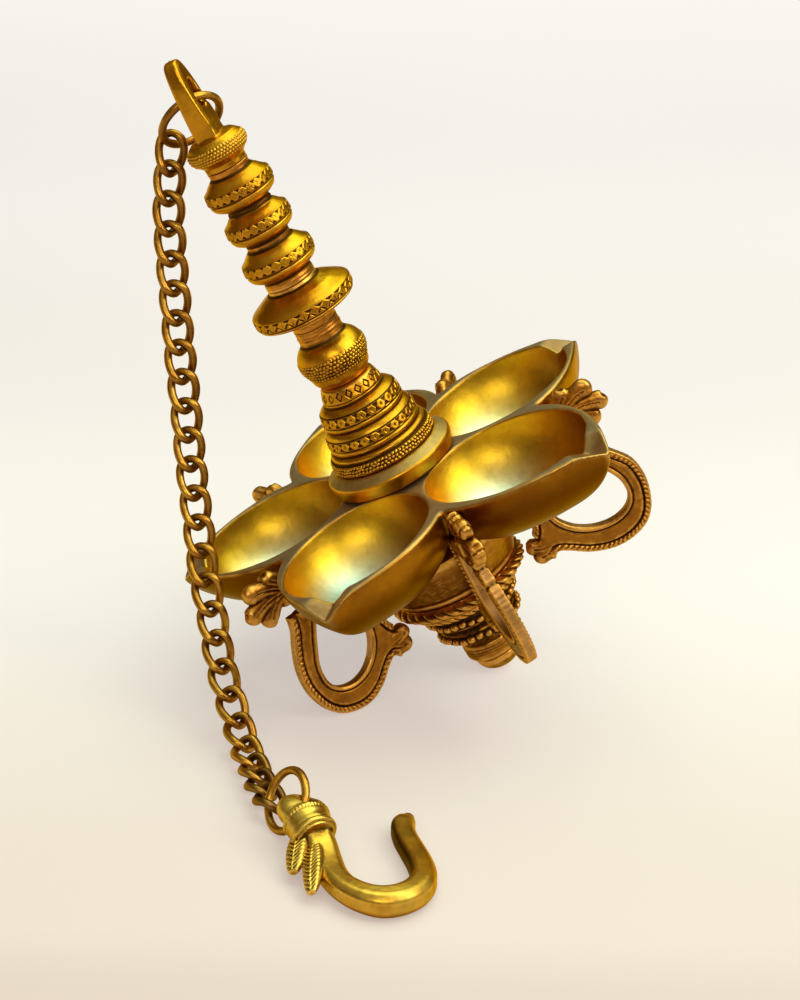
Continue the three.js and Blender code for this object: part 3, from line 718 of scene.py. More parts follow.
def hollow_table(tip, grow=0.0):
    a = np.linspace(0, np.pi, 361)
    lo, hi = np.zeros_like(a), np.full_like(a, 0.9)
    for _ in range(40):
        m = (lo + hi) / 2
        u, w = 0.545 + m * np.cos(a), m * np.sin(a)
        ok = (w < hollow_half(u, tip, grow)) & (hollow_half(u, tip, grow) > 0)
        lo, hi = np.where(ok, m, lo), np.where(ok, hi, m)
    return a, lo


def reach_table(tip, centre, inset, lo_u, hi_u):
    """How far the outline is from a point on the bowl's line, for each direction."""
    a = np.linspace(0, np.pi, 181)
    lo, hi = np.zeros_like(a), np.full_like(a, 0.9)
    for _ in range(40):
        m = (lo + hi) / 2
        u, w = centre + m * np.cos(a), m * np.sin(a)
        ok = (u < hi_u) & (u > lo_u) & (w < half_width(u, tip) - inset)
        lo, hi = np.where(ok, m, lo), np.where(ok, hi, m)
    k = np.array([1, 2, 3, 2, 1.0])
    k /= k.sum()
    m = len(k) // 2
    pad = np.r_[lo[m:0:-1], lo, lo[-2 : -m - 2 : -1]]
    return a, np.convolve(pad, k, "valid")


def shell(q2, f, z, d):
    """Rough distance to a shell with outline f(angle) and depth d; q2 is (rho/f)^2."""
    k0 = np.sqrt(q2 + (z / d) ** 2)
    k1 = np.sqrt(q2 / (f * f) + (z / (d * d)) ** 2)
    return k0 * (k0 - 1) / np.maximum(k1, 1e-6)


def dish(x, y, z):
    solid = np.maximum(np.hypot(x, y) - 0.25, -z - 0.275)
    holes = []
    for az, tip in zip(BOWL_AZ, BOWL_TIP):
        u = x * np.cos(az) + y * np.sin(az)
        w = -x * np.sin(az) + y * np.cos(az)
        a, fo = reach_table(tip, 0.5, 0.0, 0.1, tip)
        ang = np.arctan2(np.abs(w), u - 0.5)
        f = np.interp(ang, a, fo)
        q2 = ((u - 0.5) ** 2 + w * w) / (f * f)
        # the underside comes up a little towards the tip
        solid = smin(solid, shell(q2, f, z, DEPTH), 0.035)
        a, fi = hollow_table(tip)
        ang = np.arctan2(np.abs(w), u - 0.545)
        f = np.interp(ang, a, fi)
        q2 = ((u - 0.545) ** 2 + w * w) / (f * f)
        holes.append(shell(q2, f, np.minimum(z, 0), 0.262))
        fall = 0.052 * step(tip - 0.24, tip - 0.08, u)
        vee = (np.abs(w) * 0.55 - (z + fall)) / 1.14
        holes.append(np.maximum(vee, (tip - 0.235) - u))
    solid = smax(solid, z + 0.0 * x, 0.014)
    for h in holes:
        solid = smax(solid, -h, 0.008)
    return solid + 0.0016 * waves(x, y, z, 0.33, 11)


h = 0.0056 * FINE
v, f = nets(dish, (-1.08, -1.08, -0.31), (1.08, 1.08, 0.03), h)
keep_z = v[:, 2].copy()
row = lamp_to_row(v)
f = out_facing(row, f)
row = row * 0.4 + smoothed(row, f, 1) * 0.6
n = normals(row, f) @ TURN
inside, painted_highlight, painted_hollow_shade = np.zeros(len(v)), np.zeros(len(v)), np.zeros(len(v))
for az, tip in zip(BOWL_AZ, BOWL_TIP):
    u = v[:, 0] * np.cos(az) + v[:, 1] * np.sin(az)
    w = -v[:, 0] * np.sin(az) + v[:, 1] * np.cos(az)
    a, fi = hollow_table(tip, 0.008)
    k = np.hypot(u - 0.545, w) / np.interp(np.arctan2(np.abs(w), u - 0.545), a, fi)
    k2 = k**2 + (np.minimum(v[:, 2], 0) / 0.278) ** 2
    here = (k2 < 1.0) * (v[:, 2] < -0.006)
    inside = np.maximum(inside, here)
    # painted highlight: a pale greenish sheen in the lower part of the hollow, a little to the left
    px, py = v[:, 0] - 0.53 * np.cos(az) - 0.085, v[:, 1] - 0.53 * np.sin(az)
    g = np.exp(-(px**2 + py**2) / 0.15**2) * step(-0.08, -0.20, v[:, 2])
    painted_highlight = np.maximum(painted_highlight, here * np.minimum(g * 1.9, 1))
    # painted shade on the upper walls of each hollow
    painted_hollow_shade = np.maximum(painted_hollow_shade, here * step(-0.15, -0.02, v[:, 2]) * 0.5)
# painted shade: the side of each hollow that faces left is darker
painted_hollow_shade = np.clip(painted_hollow_shade * 0.4 + inside * step(0.25, 0.85, -normals(row, f)[:, 0]) * 0.75, 0, 1)
rim = step(0.80, 0.97, n[:, 2]) * step(-0.022, -0.008, v[:, 2])
tipfacet = step(-0.075, -0.05, v[:, 2]) * step(0.55, 0.75, n[:, 2]) * (1 - inside)
rim = np.maximum(rim, tipfacet * 0.6)
cav = hollowness(row, f, 0.0009, 30) * 0.8
build("petal_dish_cast", row, f, "lamp", ["petal_dish"], m_dish, {"inside": inside * 0.86, "rim": rim, "painted_highlight": painted_highlight, "painted_hollow_shade": painted_hollow_shade}, cav)


# ---- loop brackets -------------------------------------------------------------------
BRACKET_AZ = {"ab": 36, "bc": 108, "cd": 180, "de": 252, "ea": 324}
BULGE = {"ab": 0, "bc": 0, "cd": 0.055, "de": 0.02, "ea": 0}
BRACKET_OUT = np.array(
    [
        [0.636, -0.055], [0.640, 0.004], [0.675, 0.016], [0.715, 0.000], [0.750, 0.022],
        [0.800, 0.016], [0.848, -0.020], [0.862, -0.052], [0.844, -0.082], [0.860, -0.112],
        [0.850, -0.152], [0.818, -0.186], [0.780, -0.194], [0.742, -0.170], [0.715, -0.185],
        [0.722, -0.250], [0.755, -0.315], [0.784, -0.385], [0.797, -0.460], [0.792, -0.530],
        [0.765, -0.606], [0.718, -0.660], [0.650, -0.692], [0.580, -0.698], [0.510, -0.673],
        [0.450, -0.630], [0.410, -0.612], [0.385, -0.638], [0.345, -0.640], [0.308, -0.612],
        [0.294, -0.570], [0.312, -0.525], [0.350, -0.500], [0.372, -0.440], [0.380, -0.350],
        [0.395, -0.240], [0.420, -0.185], [0.500, -0.155], [0.580, -0.135], [0.632, -0.120],
    ]
)
BRACKET_HOLE = np.array(
    [
        [0.455, -0.400], [0.450, -0.440], [0.465, -0.495], [0.505, -0.548], [0.560, -0.580],
        [0.622, -0.584], [0.676, -0.558], [0.705, -0.510], [0.702, -0.440], [0.672, -0.370],
        [0.640, -0.310], [0.600, -0.250], [0.545, -0.232], [0.490, -0.252], [0.462, -0.310],
    ]
)


def rounded(points, per, closed=True):
    """Catmull-Rom curve through the points."""
    n = len(points)
    out = []
    for i in range(n if closed else n - 1):
        ids = [i - 1, i, i + 1, i + 2]
        ids = [k % n for k in ids] if closed else [min(max(k, 0), n - 1) for k in ids]
        a, b, c, d = (points[k] for k in ids)
        t = (np.arange(per) / per)[:, None]
        out.append(
            0.5
            * (2 * b + (c - a) * t + (2 * a - 5 * b + 4 * c - d) * t**2 + (3 * b - a - 3 * c + d) * t**3)
        )
    if not closed:
        out.append(points[-1:])
    return np.concatenate(out)


def polygon_distance(px, py, poly):
    """Signed distance (negative inside) to a closed polygon, and the place along it."""
    a = poly
    b = np.roll(poly, -1, 0)
    seg = b - a
    ln = np.linalg.norm(seg, axis=1)
    at = np.r_[0, np.cumsum(ln)[:-1]]
    best = np.full(px.shape, 1e9)
    where = np.zeros(px.shape)
    inside = np.zeros(px.shape, bool)
    for i in range(len(a)):
        dx, dy = px - a[i, 0], py - a[i, 1]
        t = np.clip((dx * seg[i, 0] + dy * seg[i, 1]) / max(ln[i] ** 2, 1e-12), 0, 1)
        d = np.hypot(dx - t * seg[i, 0], dy - t * seg[i, 1])
        m = d < best
        best[m] = d[m]
        where[m] = (at[i] + t * ln[i])[m]
        up = (a[i, 1] > py) != (b[i, 1] > py)
        xi = a[i, 0] + (py - a[i, 1]) / (seg[i, 1] if seg[i, 1] else 1e-9) * seg[i, 0]
        inside ^= up & (px < xi)
    return np.where(inside, -best, best), where


BH = 0.0036 * FINE
LO_B, HI_B = np.array([0.280, -0.715]), np.array([0.925, 0.036])
gu = np.arange(LO_B[0], HI_B[0] + BH * 2, BH)
gz = np.arange(LO_B[1], HI_B[1] + BH * 2, BH)
GU, GZ = np.meshgrid(gu, gz, indexing="ij")


def bracket_plan(bulge, jointed):
    """Signed distances over the bracket's plane, for one bulge of the loop."""

    def bent(p):
        k = step(0.4, 0.7, p[:, 0]) * step(0.22, 0.42, -p[:, 1])
        return np.stack([p[:, 0] + bulge * k, p[:, 1]], 1)

    outer = rounded(bent(BRACKET_OUT), 6)
    hole = rounded(bent(BRACKET_HOLE), 8)
    do, s = polygon_distance(GU, GZ, outer)
    dh, sh = polygon_distance(GU, GZ, hole)
    u = GU - bulge * step(0.4, 0.7, GU) * step(0.22, 0.42, -GZ)
    leaf = step(0.60, 0.66, u) * step(-0.215, -0.19, GZ)  # the finial under the rim
    bud = 1 - step(0.36, 0.43, u + 0.5 * (GZ + 0.60))
    bud *= 1 - step(-0.50, -0.47, GZ)
    stemz = step(-0.24, -0.19, GZ) * (1 - leaf)
    e = -do  # depth inside the outer edge
    loop = (1 - leaf) * (1 - bud) * (1 - stemz)
    # a flat edge, and a row of slanted beads on the face next to it
    tw = 0.5 + 0.5 * np.cos(2 * np.pi * (s / 0.0215 + e * 22))
    cord = np.sqrt(np.maximum(0, 1 - ((e - 0.0175) / 0.0090) ** 2)) * (0.15 + 0.85 * tw**0.8)
    tee = 0.0215 + 0.0 * GU
    tee = np.where(e < 0.0265, 0.0190 + 0.0085 * cord, tee)
    tee = np.where(e < 0.0085, 0.0225, tee)
    tee = tee - 0.0075 * np.exp(-(((e - 0.0290) / 0.0034) ** 2))
    # a fine raised line next to the hole
    tee = tee + 0.0042 * np.exp(-(((dh - 0.012) / 0.0042) ** 2)) - 0.004 * np.exp(-(((dh - 0.0215) / 0.0035) ** 2))

    def fingers(px, pz, root, tips):
        """Round-ended leaves that spread from a root: distance, thickness and rib."""
        dist, thick, rib = np.full(px.shape, 1e3), np.zeros(px.shape), np.zeros(px.shape)
        for tu, tz, r0, r1 in tips:
            au, av = tu - root[0], tz - root[1]
            ll = au * au + av * av
            k = np.clip(((px - root[0]) * au + (pz - root[1]) * av) / ll, 0, 1)
            lean = 0.012 * np.sin(k * np.pi)  # leaves curve a little
            nx, nz = -av / math.sqrt(ll), au / math.sqrt(ll)
            q = np.hypot(px - root[0] - k * au - lean * nx, pz - root[1] - k * av - lean * nz)
            r = r0 + (r1 - r0) * k
            d = q - r
            dist = np.minimum(dist, d)
            top = np.sqrt(np.clip(1 - (q / r) ** 2, 0, 1))
            thick = np.maximum(thick, top)
            rib = np.where(q < 0.0032, 1.0, rib) * 1.0
        return dist, thick, rib

    leafd, leaft, leafr = fingers(
        u, GZ, (0.665, -0.100),
        ((0.702, -0.026, 0.030, 0.037), (0.786, -0.034, 0.024, 0.040), (0.823, -0.104, 0.026, 0.038),
         (0.770, -0.152, 0.026, 0.040), (0.68, -0.12, 0.03, 0.04)),
    )
    fan = 0.0075 + 0.0220 * leaft - 0.0035 * leafr
    budd, budt0, budr = fingers(
        GU, GZ, (0.425, -0.560),
        ((0.330, -0.556, 0.040, 0.034), (0.345, -0.602, 0.038, 0.036), (0.398, -0.606, 0.036, 0.034)),
    )
    budt = 0.0090 + 0.0225 * budt0 - 0.0035 * budr
    ribs = 0.5 + 0.5 * np.cos(2 * np.pi * (GU * 0.94 - GZ * 0.35) / 0.046)
    stemt = 0.019 + 0.0105 * ribs**0.7 * np.sqrt(np.clip(e / 0.016, 0, 1))
    tee = tee * loop + fan * leaf + budt * bud + stemt * stemz
    rim = do + 0.0009 * (1 - tw) * loop + 0.0035 * (1 - ribs) * stemz
    rim = np.where(leaf > 0.5, np.maximum(rim, leafd), rim)
    rim = np.where(bud > 0.5, np.maximum(rim, budd), rim)
    if jointed:
        upper = step(-0.37, -0.32, GZ) * (1 - bud) * step(0.58, 0.64, u)
        joints = 1 - np.clip(np.abs(np.sin(np.pi * s / 0.066)) * 2.2, 0, 1)
        tee = tee - upper * 0.010 * joints
        rim = rim + upper * 0.0060 * joints
    return np.maximum(rim, -dh), tee, loop


def dish_pod(x, y, z, grow):
    d = None
    for az, tip in zip(BOWL_AZ, BOWL_TIP):
        u = x * np.cos(az) + y * np.sin(az)
        w = -x * np.sin(az) + y * np.cos(az)
        a, fo = reach_table(tip, 0.5, 0.0, 0.1, tip)
        f = np.interp(np.arctan2(np.abs(w), u - 0.5), a, fo)
        q2 = ((u - 0.5) ** 2 + w * w) / (f * f)
        e = shell(q2, f, np.minimum(z, 0), DEPTH)
        d = e if d is None else np.minimum(d, e)
    return d - grow


plans = {}
for key, az_deg in BRACKET_AZ.items():
    az = math.radians(az_deg)
    kind = (BULGE[key], key == "bc")
    if kind not in plans:
        plans[kind] = bracket_plan(*kind)
    flat, tee, loop = plans[kind]

    def bracket(u, w, z):
        k = slice(0, u.shape[0]), slice(0, z.shape[2])
        d2, tt = flat[k][:, None, :], tee[k][:, None, :]
        d = smax(d2 + 0 * w, np.abs(w) - tt, 0.0045)
        x = u * math.cos(az) - w * math.sin(az)
        y = u * math.sin(az) + w * math.cos(az)
        return smax(d, -dish_pod(x, y, z, 0.0068), 0.004)

    v, f = nets(bracket, (LO_B[0], -0.034, LO_B[1]), (HI_B[0], 0.034, HI_B[1]), BH)
    plain = np.clip(
        loop[np.clip(((v[:, 0] - LO_B[0]) / BH).astype(int), 0, len(gu) - 1),
             np.clip(((v[:, 2] - LO_B[1]) / BH).astype(int), 0, len(gz) - 1)], 0, 1)
    p = np.stack(
        [
            v[:, 0] * math.cos(az) - v[:, 1] * math.sin(az),
            v[:, 0] * math.sin(az) + v[:, 1] * math.cos(az),
            v[:, 2],
        ],
        1,
    )
    row = lamp_to_row(p)
    f = out_facing(row, f)
    row = row * 0.5 + smoothed(row, f, 1) * 0.5
    cav = hollowness(row, f, 0.00022, 8) * 0.6 + hollowness(row, f, 0.0006, 30) * 0.55
    face = plain * step(0.75, 0.95, np.abs(normals(row, f) @ (TURN @ np.array([-math.sin(az), math.cos(az), 0]))))
    flank = np.abs(normals(row, f) @ (TURN @ np.array([-math.sin(az), math.cos(az), 0])))
    strip = plain * (1 - step(0.15, 0.45, flank)) * 0.85
    build("bracket_%s_cast" % key, row, f, "lamp", ["bracket_" + key], m_patina, {"plain": face * 0.55, "strip": strip}, np.clip(cav, -1, 1))

# ---- eye on its granulated knob ----------------------------------------------------------
EYE_AZ = math.radians(80)
RING_AT = np.array([-0.7798, 0.0491, 2.2248])
RING_NORMAL = unit([0.5533, -0.6542, -0.5156])
ring_c = row_to_lamp(floor_to_row(RING_AT))
ring_n = RING_NORMAL @ TURN
EYE_HALF = np.array(
    [[0.050, 1.475], [0.062, 1.530], [0.068, 1.600], [0.068, 1.660], [0.062, 1.715], [0.048, 1.762], [0.031, 1.788], [0.010, 1.797]]
)
KNOB = np.array(
    [[1.372, 0.082], [1.392, 0.083], [1.402, 0.092], [1.412, 0.103], [1.428, 0.1145], [1.447, 0.1185],
     [1.464, 0.112], [1.478, 0.099], [1.488, 0.086], [1.498, 0.050], [1.500, 0.0]]
)


def eye(x, y, z):
    a = x * math.cos(EYE_AZ) + y * math.sin(EYE_AZ)
    b = -x * math.sin(EYE_AZ) + y * math.cos(EYE_AZ)
    poly = np.concatenate([EYE_HALF, EYE_HALF[::-1] * [-1, 1]])
    poly = rounded(poly, 6)
    A, Z = np.meshgrid(np.arange(-0.13, 0.131, 0.004), np.arange(1.36, 1.815, 0.004), indexing="ij")
    plan, _ = polygon_distance(A, Z, poly)

    def look(a, z):
        i = np.clip((a + 0.13) / 0.004, 0, A.shape[0] - 1.001)
        j = np.clip((z - 1.36) / 0.004, 0, A.shape[1] - 1.001)
        i0, j0 = i.astype(int), j.astype(int)
        s, t = i - i0, j - j0
        return (
            plan[i0, j0] * (1 - s) * (1 - t) + plan[i0 + 1, j0] * s * (1 - t)
            + plan[i0, j0 + 1] * (1 - s) * t + plan[i0 + 1, j0 + 1] * s * t
        )

    a3, z3 = np.broadcast_arrays(a + 0 * z, z + 0 * a)
    d2 = look(a3, z3)
    half = np.interp(z, [1.475, 1.55, 1.62, 1.70, 1.797], [0.047, 0.045, 0.039, 0.034, 0.030])
    half = half - 0.007 * (1 - np.clip(-d2 / 0.020, 0, 1))
    blade = smax(d2, np.abs(b) - half, 0.008)
    slot = np.hypot(a, z - np.clip(z, 1.632, 1.683)) - 0.031
    blade = smax(blade, -slot, 0.012)
    rho = np.hypot(x, y)
    th = np.arctan2(y, x)
    r = np.interp(z, KNOB[:, 0], KNOB[:, 1])
    rows = (z - 1.410) / 0.0118
    row = np.floor(rows)
    on = (z > 1.410) & (z < 1.469)
    uu = frac(th * 52 / (2 * np.pi) + np.where(row % 2 == 1, 0.5, 0)) - 0.5
    dot = np.sqrt(np.maximum(0, 1 - (uu**2 + (rows - row - 0.5) ** 2) / 0.22))
    knob = (rho - r - np.where(on, (dot - 0.35) * 0.0058, 0)) * 0.8
    knob = np.maximum(knob, 1.372 - z)
    knob = np.maximum(knob, -np.maximum(rho - 0.05, z - 1.45))
    d = smin(blade, knob, 0.010)
    px, py, pz = x - ring_c[0], y - ring_c[1], z - ring_c[2]
    hgt = px * ring_n[0] + py * ring_n[1] + pz * ring_n[2]
    flat_r = np.sqrt(np.maximum(px**2 + py**2 + pz**2 - hgt**2, 0))
    worn = np.hypot(flat_r - 0.1206, hgt) - 0.0218
    near = np.sqrt(x * x + y * y + (z - 1.66) ** 2) < 0.12
    return np.where(near, smax(d, -worn, 0.006), d)


v, f = nets(eye, (-0.13, -0.13, 1.368), (0.13, 0.13, 1.803), 0.0026 * FINE)
row = lamp_to_row(v)
f = out_facing(row, f)
row = row * 0.5 + smoothed(row, f, 1) * 0.5
cav = np.clip(hollowness(row, f, 0.00016, 8) * 0.7, -1, 1)
zero = np.zeros(len(row))
build("top_eye_cast", row, f, "lamp", ["top_eye"], m_turned, {"neck": zero, "pale": zero}, cav)

# ---- rings and chain ------------------------------------------------------------------------


def swept(path, tangent, normal, radius, sides):
    """A closed tube: path, tangent and normal are (m, 3); radius is (m,)."""
    side = np.cross(tangent, normal)
    th = np.arange(sides) / sides * 2 * np.pi
    v = (
        path[:, None]
        + radius[:, None, None]
        * (normal[:, None] * np.cos(th)[None, :, None] + side[:, None] * np.sin(th)[None, :, None])
    )
    return v.reshape(-1, 3), grid_faces(len(path), sides)


def units(a):
    return a / np.linalg.norm(a, axis=1)[:, None]


def ring_mesh(at, normal, rho, wire, seed):
    n = unit(normal)
    e1 = unit(np.cross([0, 0, 1.0], n))
    e2 = np.cross(n, e1)
    m = int(160 / FINE)
    a = np.arange(m) / m * 2 * np.pi
    out = np.cos(a)[:, None] * e1 + np.sin(a)[:, None] * e2
    rr = wire * (1 + 0.03 * np.sin(3 * a + seed) + 0.02 * np.sin(7 * a + 2 * seed))
    path = at + rho * out
    t = -np.sin(a)[:, None] * e1 + np.cos(a)[:, None] * e2
    v, f = swept(path, t, out, rr, 26)
    v = floor_to_row(v)
    return v, out_facing(v, f), np.zeros(len(v))


def plain_cav(v, f):
    return np.clip(waves(v[:, 0], v[:, 1], v[:, 2], 0.004, 5) * 0.35, -1, 1)


m_ring = m_chain
v, f, s = ring_mesh(RING_AT, RING_NORMAL, 0.1206, 0.0153, 1.0)
build("top_ring_wire", v, f, "top_ring", ["top_ring"], m_ring, {"shade": s}, plain_cav(v, f))
HOOK_RING_AT = np.array([-0.3602, -1.2414, 0.1146])
HOOK_RING_NORMAL = unit([0.7732, 0.4244, -0.4713])
v, f, s = ring_mesh(HOOK_RING_AT, HOOK_RING_NORMAL, 0.1093, 0.0153, 2.4)
build("hook_ring_wire", v, f, "hook_ring", ["hook_ring"], m_ring, {"shade": s}, plain_cav(v, f))

LINKS = np.array(
    [
        [-0.8545, 0.0455, 2.0972], [-0.8615, 0.0285, 1.9875], [-0.8647, 0.0116, 1.8760],
        [-0.8600, -0.0079, 1.7655], [-0.8515, -0.0283, 1.6559], [-0.8413, -0.0499, 1.5466],
        [-0.8317, -0.0727, 1.4375], [-0.8215, -0.0970, 1.3288], [-0.8091, -0.1230, 1.2205],
        [-0.7974, -0.1508, 1.1128], [-0.7869, -0.1807, 1.0057], [-0.7746, -0.2130, 0.8994],
        [-0.7597, -0.2482, 0.7941], [-0.7445, -0.2869, 0.6902], [-0.7297, -0.3295, 0.5881],
        [-0.7084, -0.3770, 0.4884], [-0.6844, -0.4304, 0.3923], [-0.6613, -0.4911, 0.3011],
        [-0.6330, -0.5605, 0.2173], [-0.5976, -0.6403, 0.1448], [-0.5628, -0.7311, 0.0891],
        [-0.5286, -0.8315, 0.0582], [-0.4946, -0.9363, 0.0530], [-0.4649, -1.0413, 0.0530],
        [-0.4268, -1.1470, 0.0595],
    ]
)
ACROSS = unit([0.94, 0.3411, 0.0])
HL, HW, WIRE = 0.0757, 0.047, 0.01633
for i, at in enumerate(LINKS):
    along = unit(LINKS[min(i + 1, 24)] - LINKS[max(i - 1, 0)])
    wide = unit(ACROSS - along * (ACROSS @ along))
    face = np.cross(along, wide)

    def bar(a):
        s, c = np.sin(a), np.cos(a)
        kink = np.abs(s) * 2.2
        soft = np.where(kink < 0.7, kink, np.where(kink > 1.3, 1.0, kink - (kink - 0.7) ** 2 / 1.2))
        x = s * HW + np.sign(s) * (HL - HW) * soft
        turn = -x / HL * math.radians(45)
        w = c * HW
        return at + x[:, None] * along + (w * np.cos(turn))[:, None] * wide + (w * np.sin(turn))[:, None] * face, x

    m = int(96 / FINE)
    a = (np.arange(m) + 0.5) / m * 2 * np.pi
    path, x = bar(a)
    t = units(bar(a + 0.01)[0] - bar(a - 0.01)[0])
    toward = path - at
    toward = units(toward - t * (toward * t).sum(1)[:, None])
    rr = WIRE * (0.955 + 0.02 * np.sin(2 * a + i) + 0.015 * np.sin(5 * a + 2 * i))
    rr = rr * (1 - 0.05 * step(0.06, 0.075, np.abs(x)))
    v, f = swept(path, t, toward, rr, 20)
    row = floor_to_row(v)
    f = out_facing(row, f)
    # painted shade on the inner faces, stronger towards the link ends; the last links are darker all over
    inner = np.tile(-np.cos(np.arange(20) / 20 * 2 * np.pi), m)
    ends = np.repeat(step(0.035, 0.07, np.abs(x)), 20)
    darker_last_link = [0.0, 0.45, 0.75, 0.85][max(0, i - 21)] if i > 20 else 0.0
    shade = np.clip(step(0.1, 0.95, inner) * (0.35 + 0.55 * ends) + darker_last_link * 0.8, 0, 1)
    name = "chain_link_%02d" % (i + 1)
    build(name + "_wire", row, f, name, [name], m_chain, {"shade": shade}, plain_cav(row, f))

# ---- hook -------------------------------------------------------------------------------------
HEAD = np.array([-0.3053, -1.3358, 0.1205])
HOLE_AXIS = unit([0.387, 0.272, 0.881])
hx = unit(np.cross([0, 0, 1.0], HOLE_AXIS))
hy = np.cross(HOLE_AXIS, hx)
BAR = np.array(
    [
        [-0.262, -1.410, 0.1000], [-0.235, -1.465, 0.0780], [-0.212, -1.530, 0.0570],
        [-0.188, -1.600, 0.0520], [-0.160, -1.660, 0.0525], [-0.125, -1.706, 0.0535],
        [-0.075, -1.744, 0.0535], [-0.020, -1.762, 0.0535], [0.037, -1.754, 0.0535],
        [0.086, -1.715, 0.0520], [0.118, -1.655, 0.0485], [0.124, -1.590, 0.0450],
        [0.110, -1.515, 0.0440], [0.084, -1.435, 0.0435], [0.060, -1.360, 0.0430],
        [0.052, -1.295, 0.0425], [0.068, -1.238, 0.0420],
    ]
)
bar_path = rounded(BAR, 16, closed=False)
bar_len = np.r_[0, np.cumsum(np.linalg.norm(np.diff(bar_path, axis=0), axis=1))]
bar_len /= bar_len[-1]
bar_dir = units(np.gradient(bar_path, axis=0) * [1, 1, 0])


def leaf_shape(x, y, z, a, b, wide):
    """A pointed leaf from a to b, hatched on both sides of its rib."""
    a, b = np.array(a), np.array(b)
    ax = unit(b - a)
    up = unit(np.array([-0.55, -0.35, 0.76]) - ax * (ax @ np.array([-0.55, -0.35, 0.76])))
    side = np.cross(ax, up)
    p = [q - c for q, c in zip((x, y, z), (a + b) / 2)]
    dot = lambda e: p[0] * e[0] + p[1] * e[1] + p[2] * e[2]
    half = np.linalg.norm(b - a) / 2
    l, s, h = dot(ax) / half, dot(side), dot(up)
    w = wide * np.sqrt(np.clip(1 - l * l, 0.0, 1)) * (1 - 0.12 * l) + 1e-4
    q = np.sqrt((s / w) ** 2 + (h / (w * 0.85)) ** 2)
    d = np.maximum((q - 1) * w * 0.8, (np.abs(l + 0.05) - 0.93) * half)
    d = smax(d, (h - w * 0.52) * 0.9, 0.006)  # flattened on top
    edge = np.clip(1 - (s / w) ** 2, 0, 1)
    hatch = 0.5 + 0.5 * np.cos(2 * np.pi * (l * half / 0.0175 + np.abs(s) / 0.022))
    rib = np.exp(-((s / 0.0035) ** 2))
    top = step(-0.1, 0.5, h / w)
    return d + top * edge * (0.0085 * hatch * (1 - rib) - 0.002 * rib) * step(1.0, 0.75, np.abs(l))


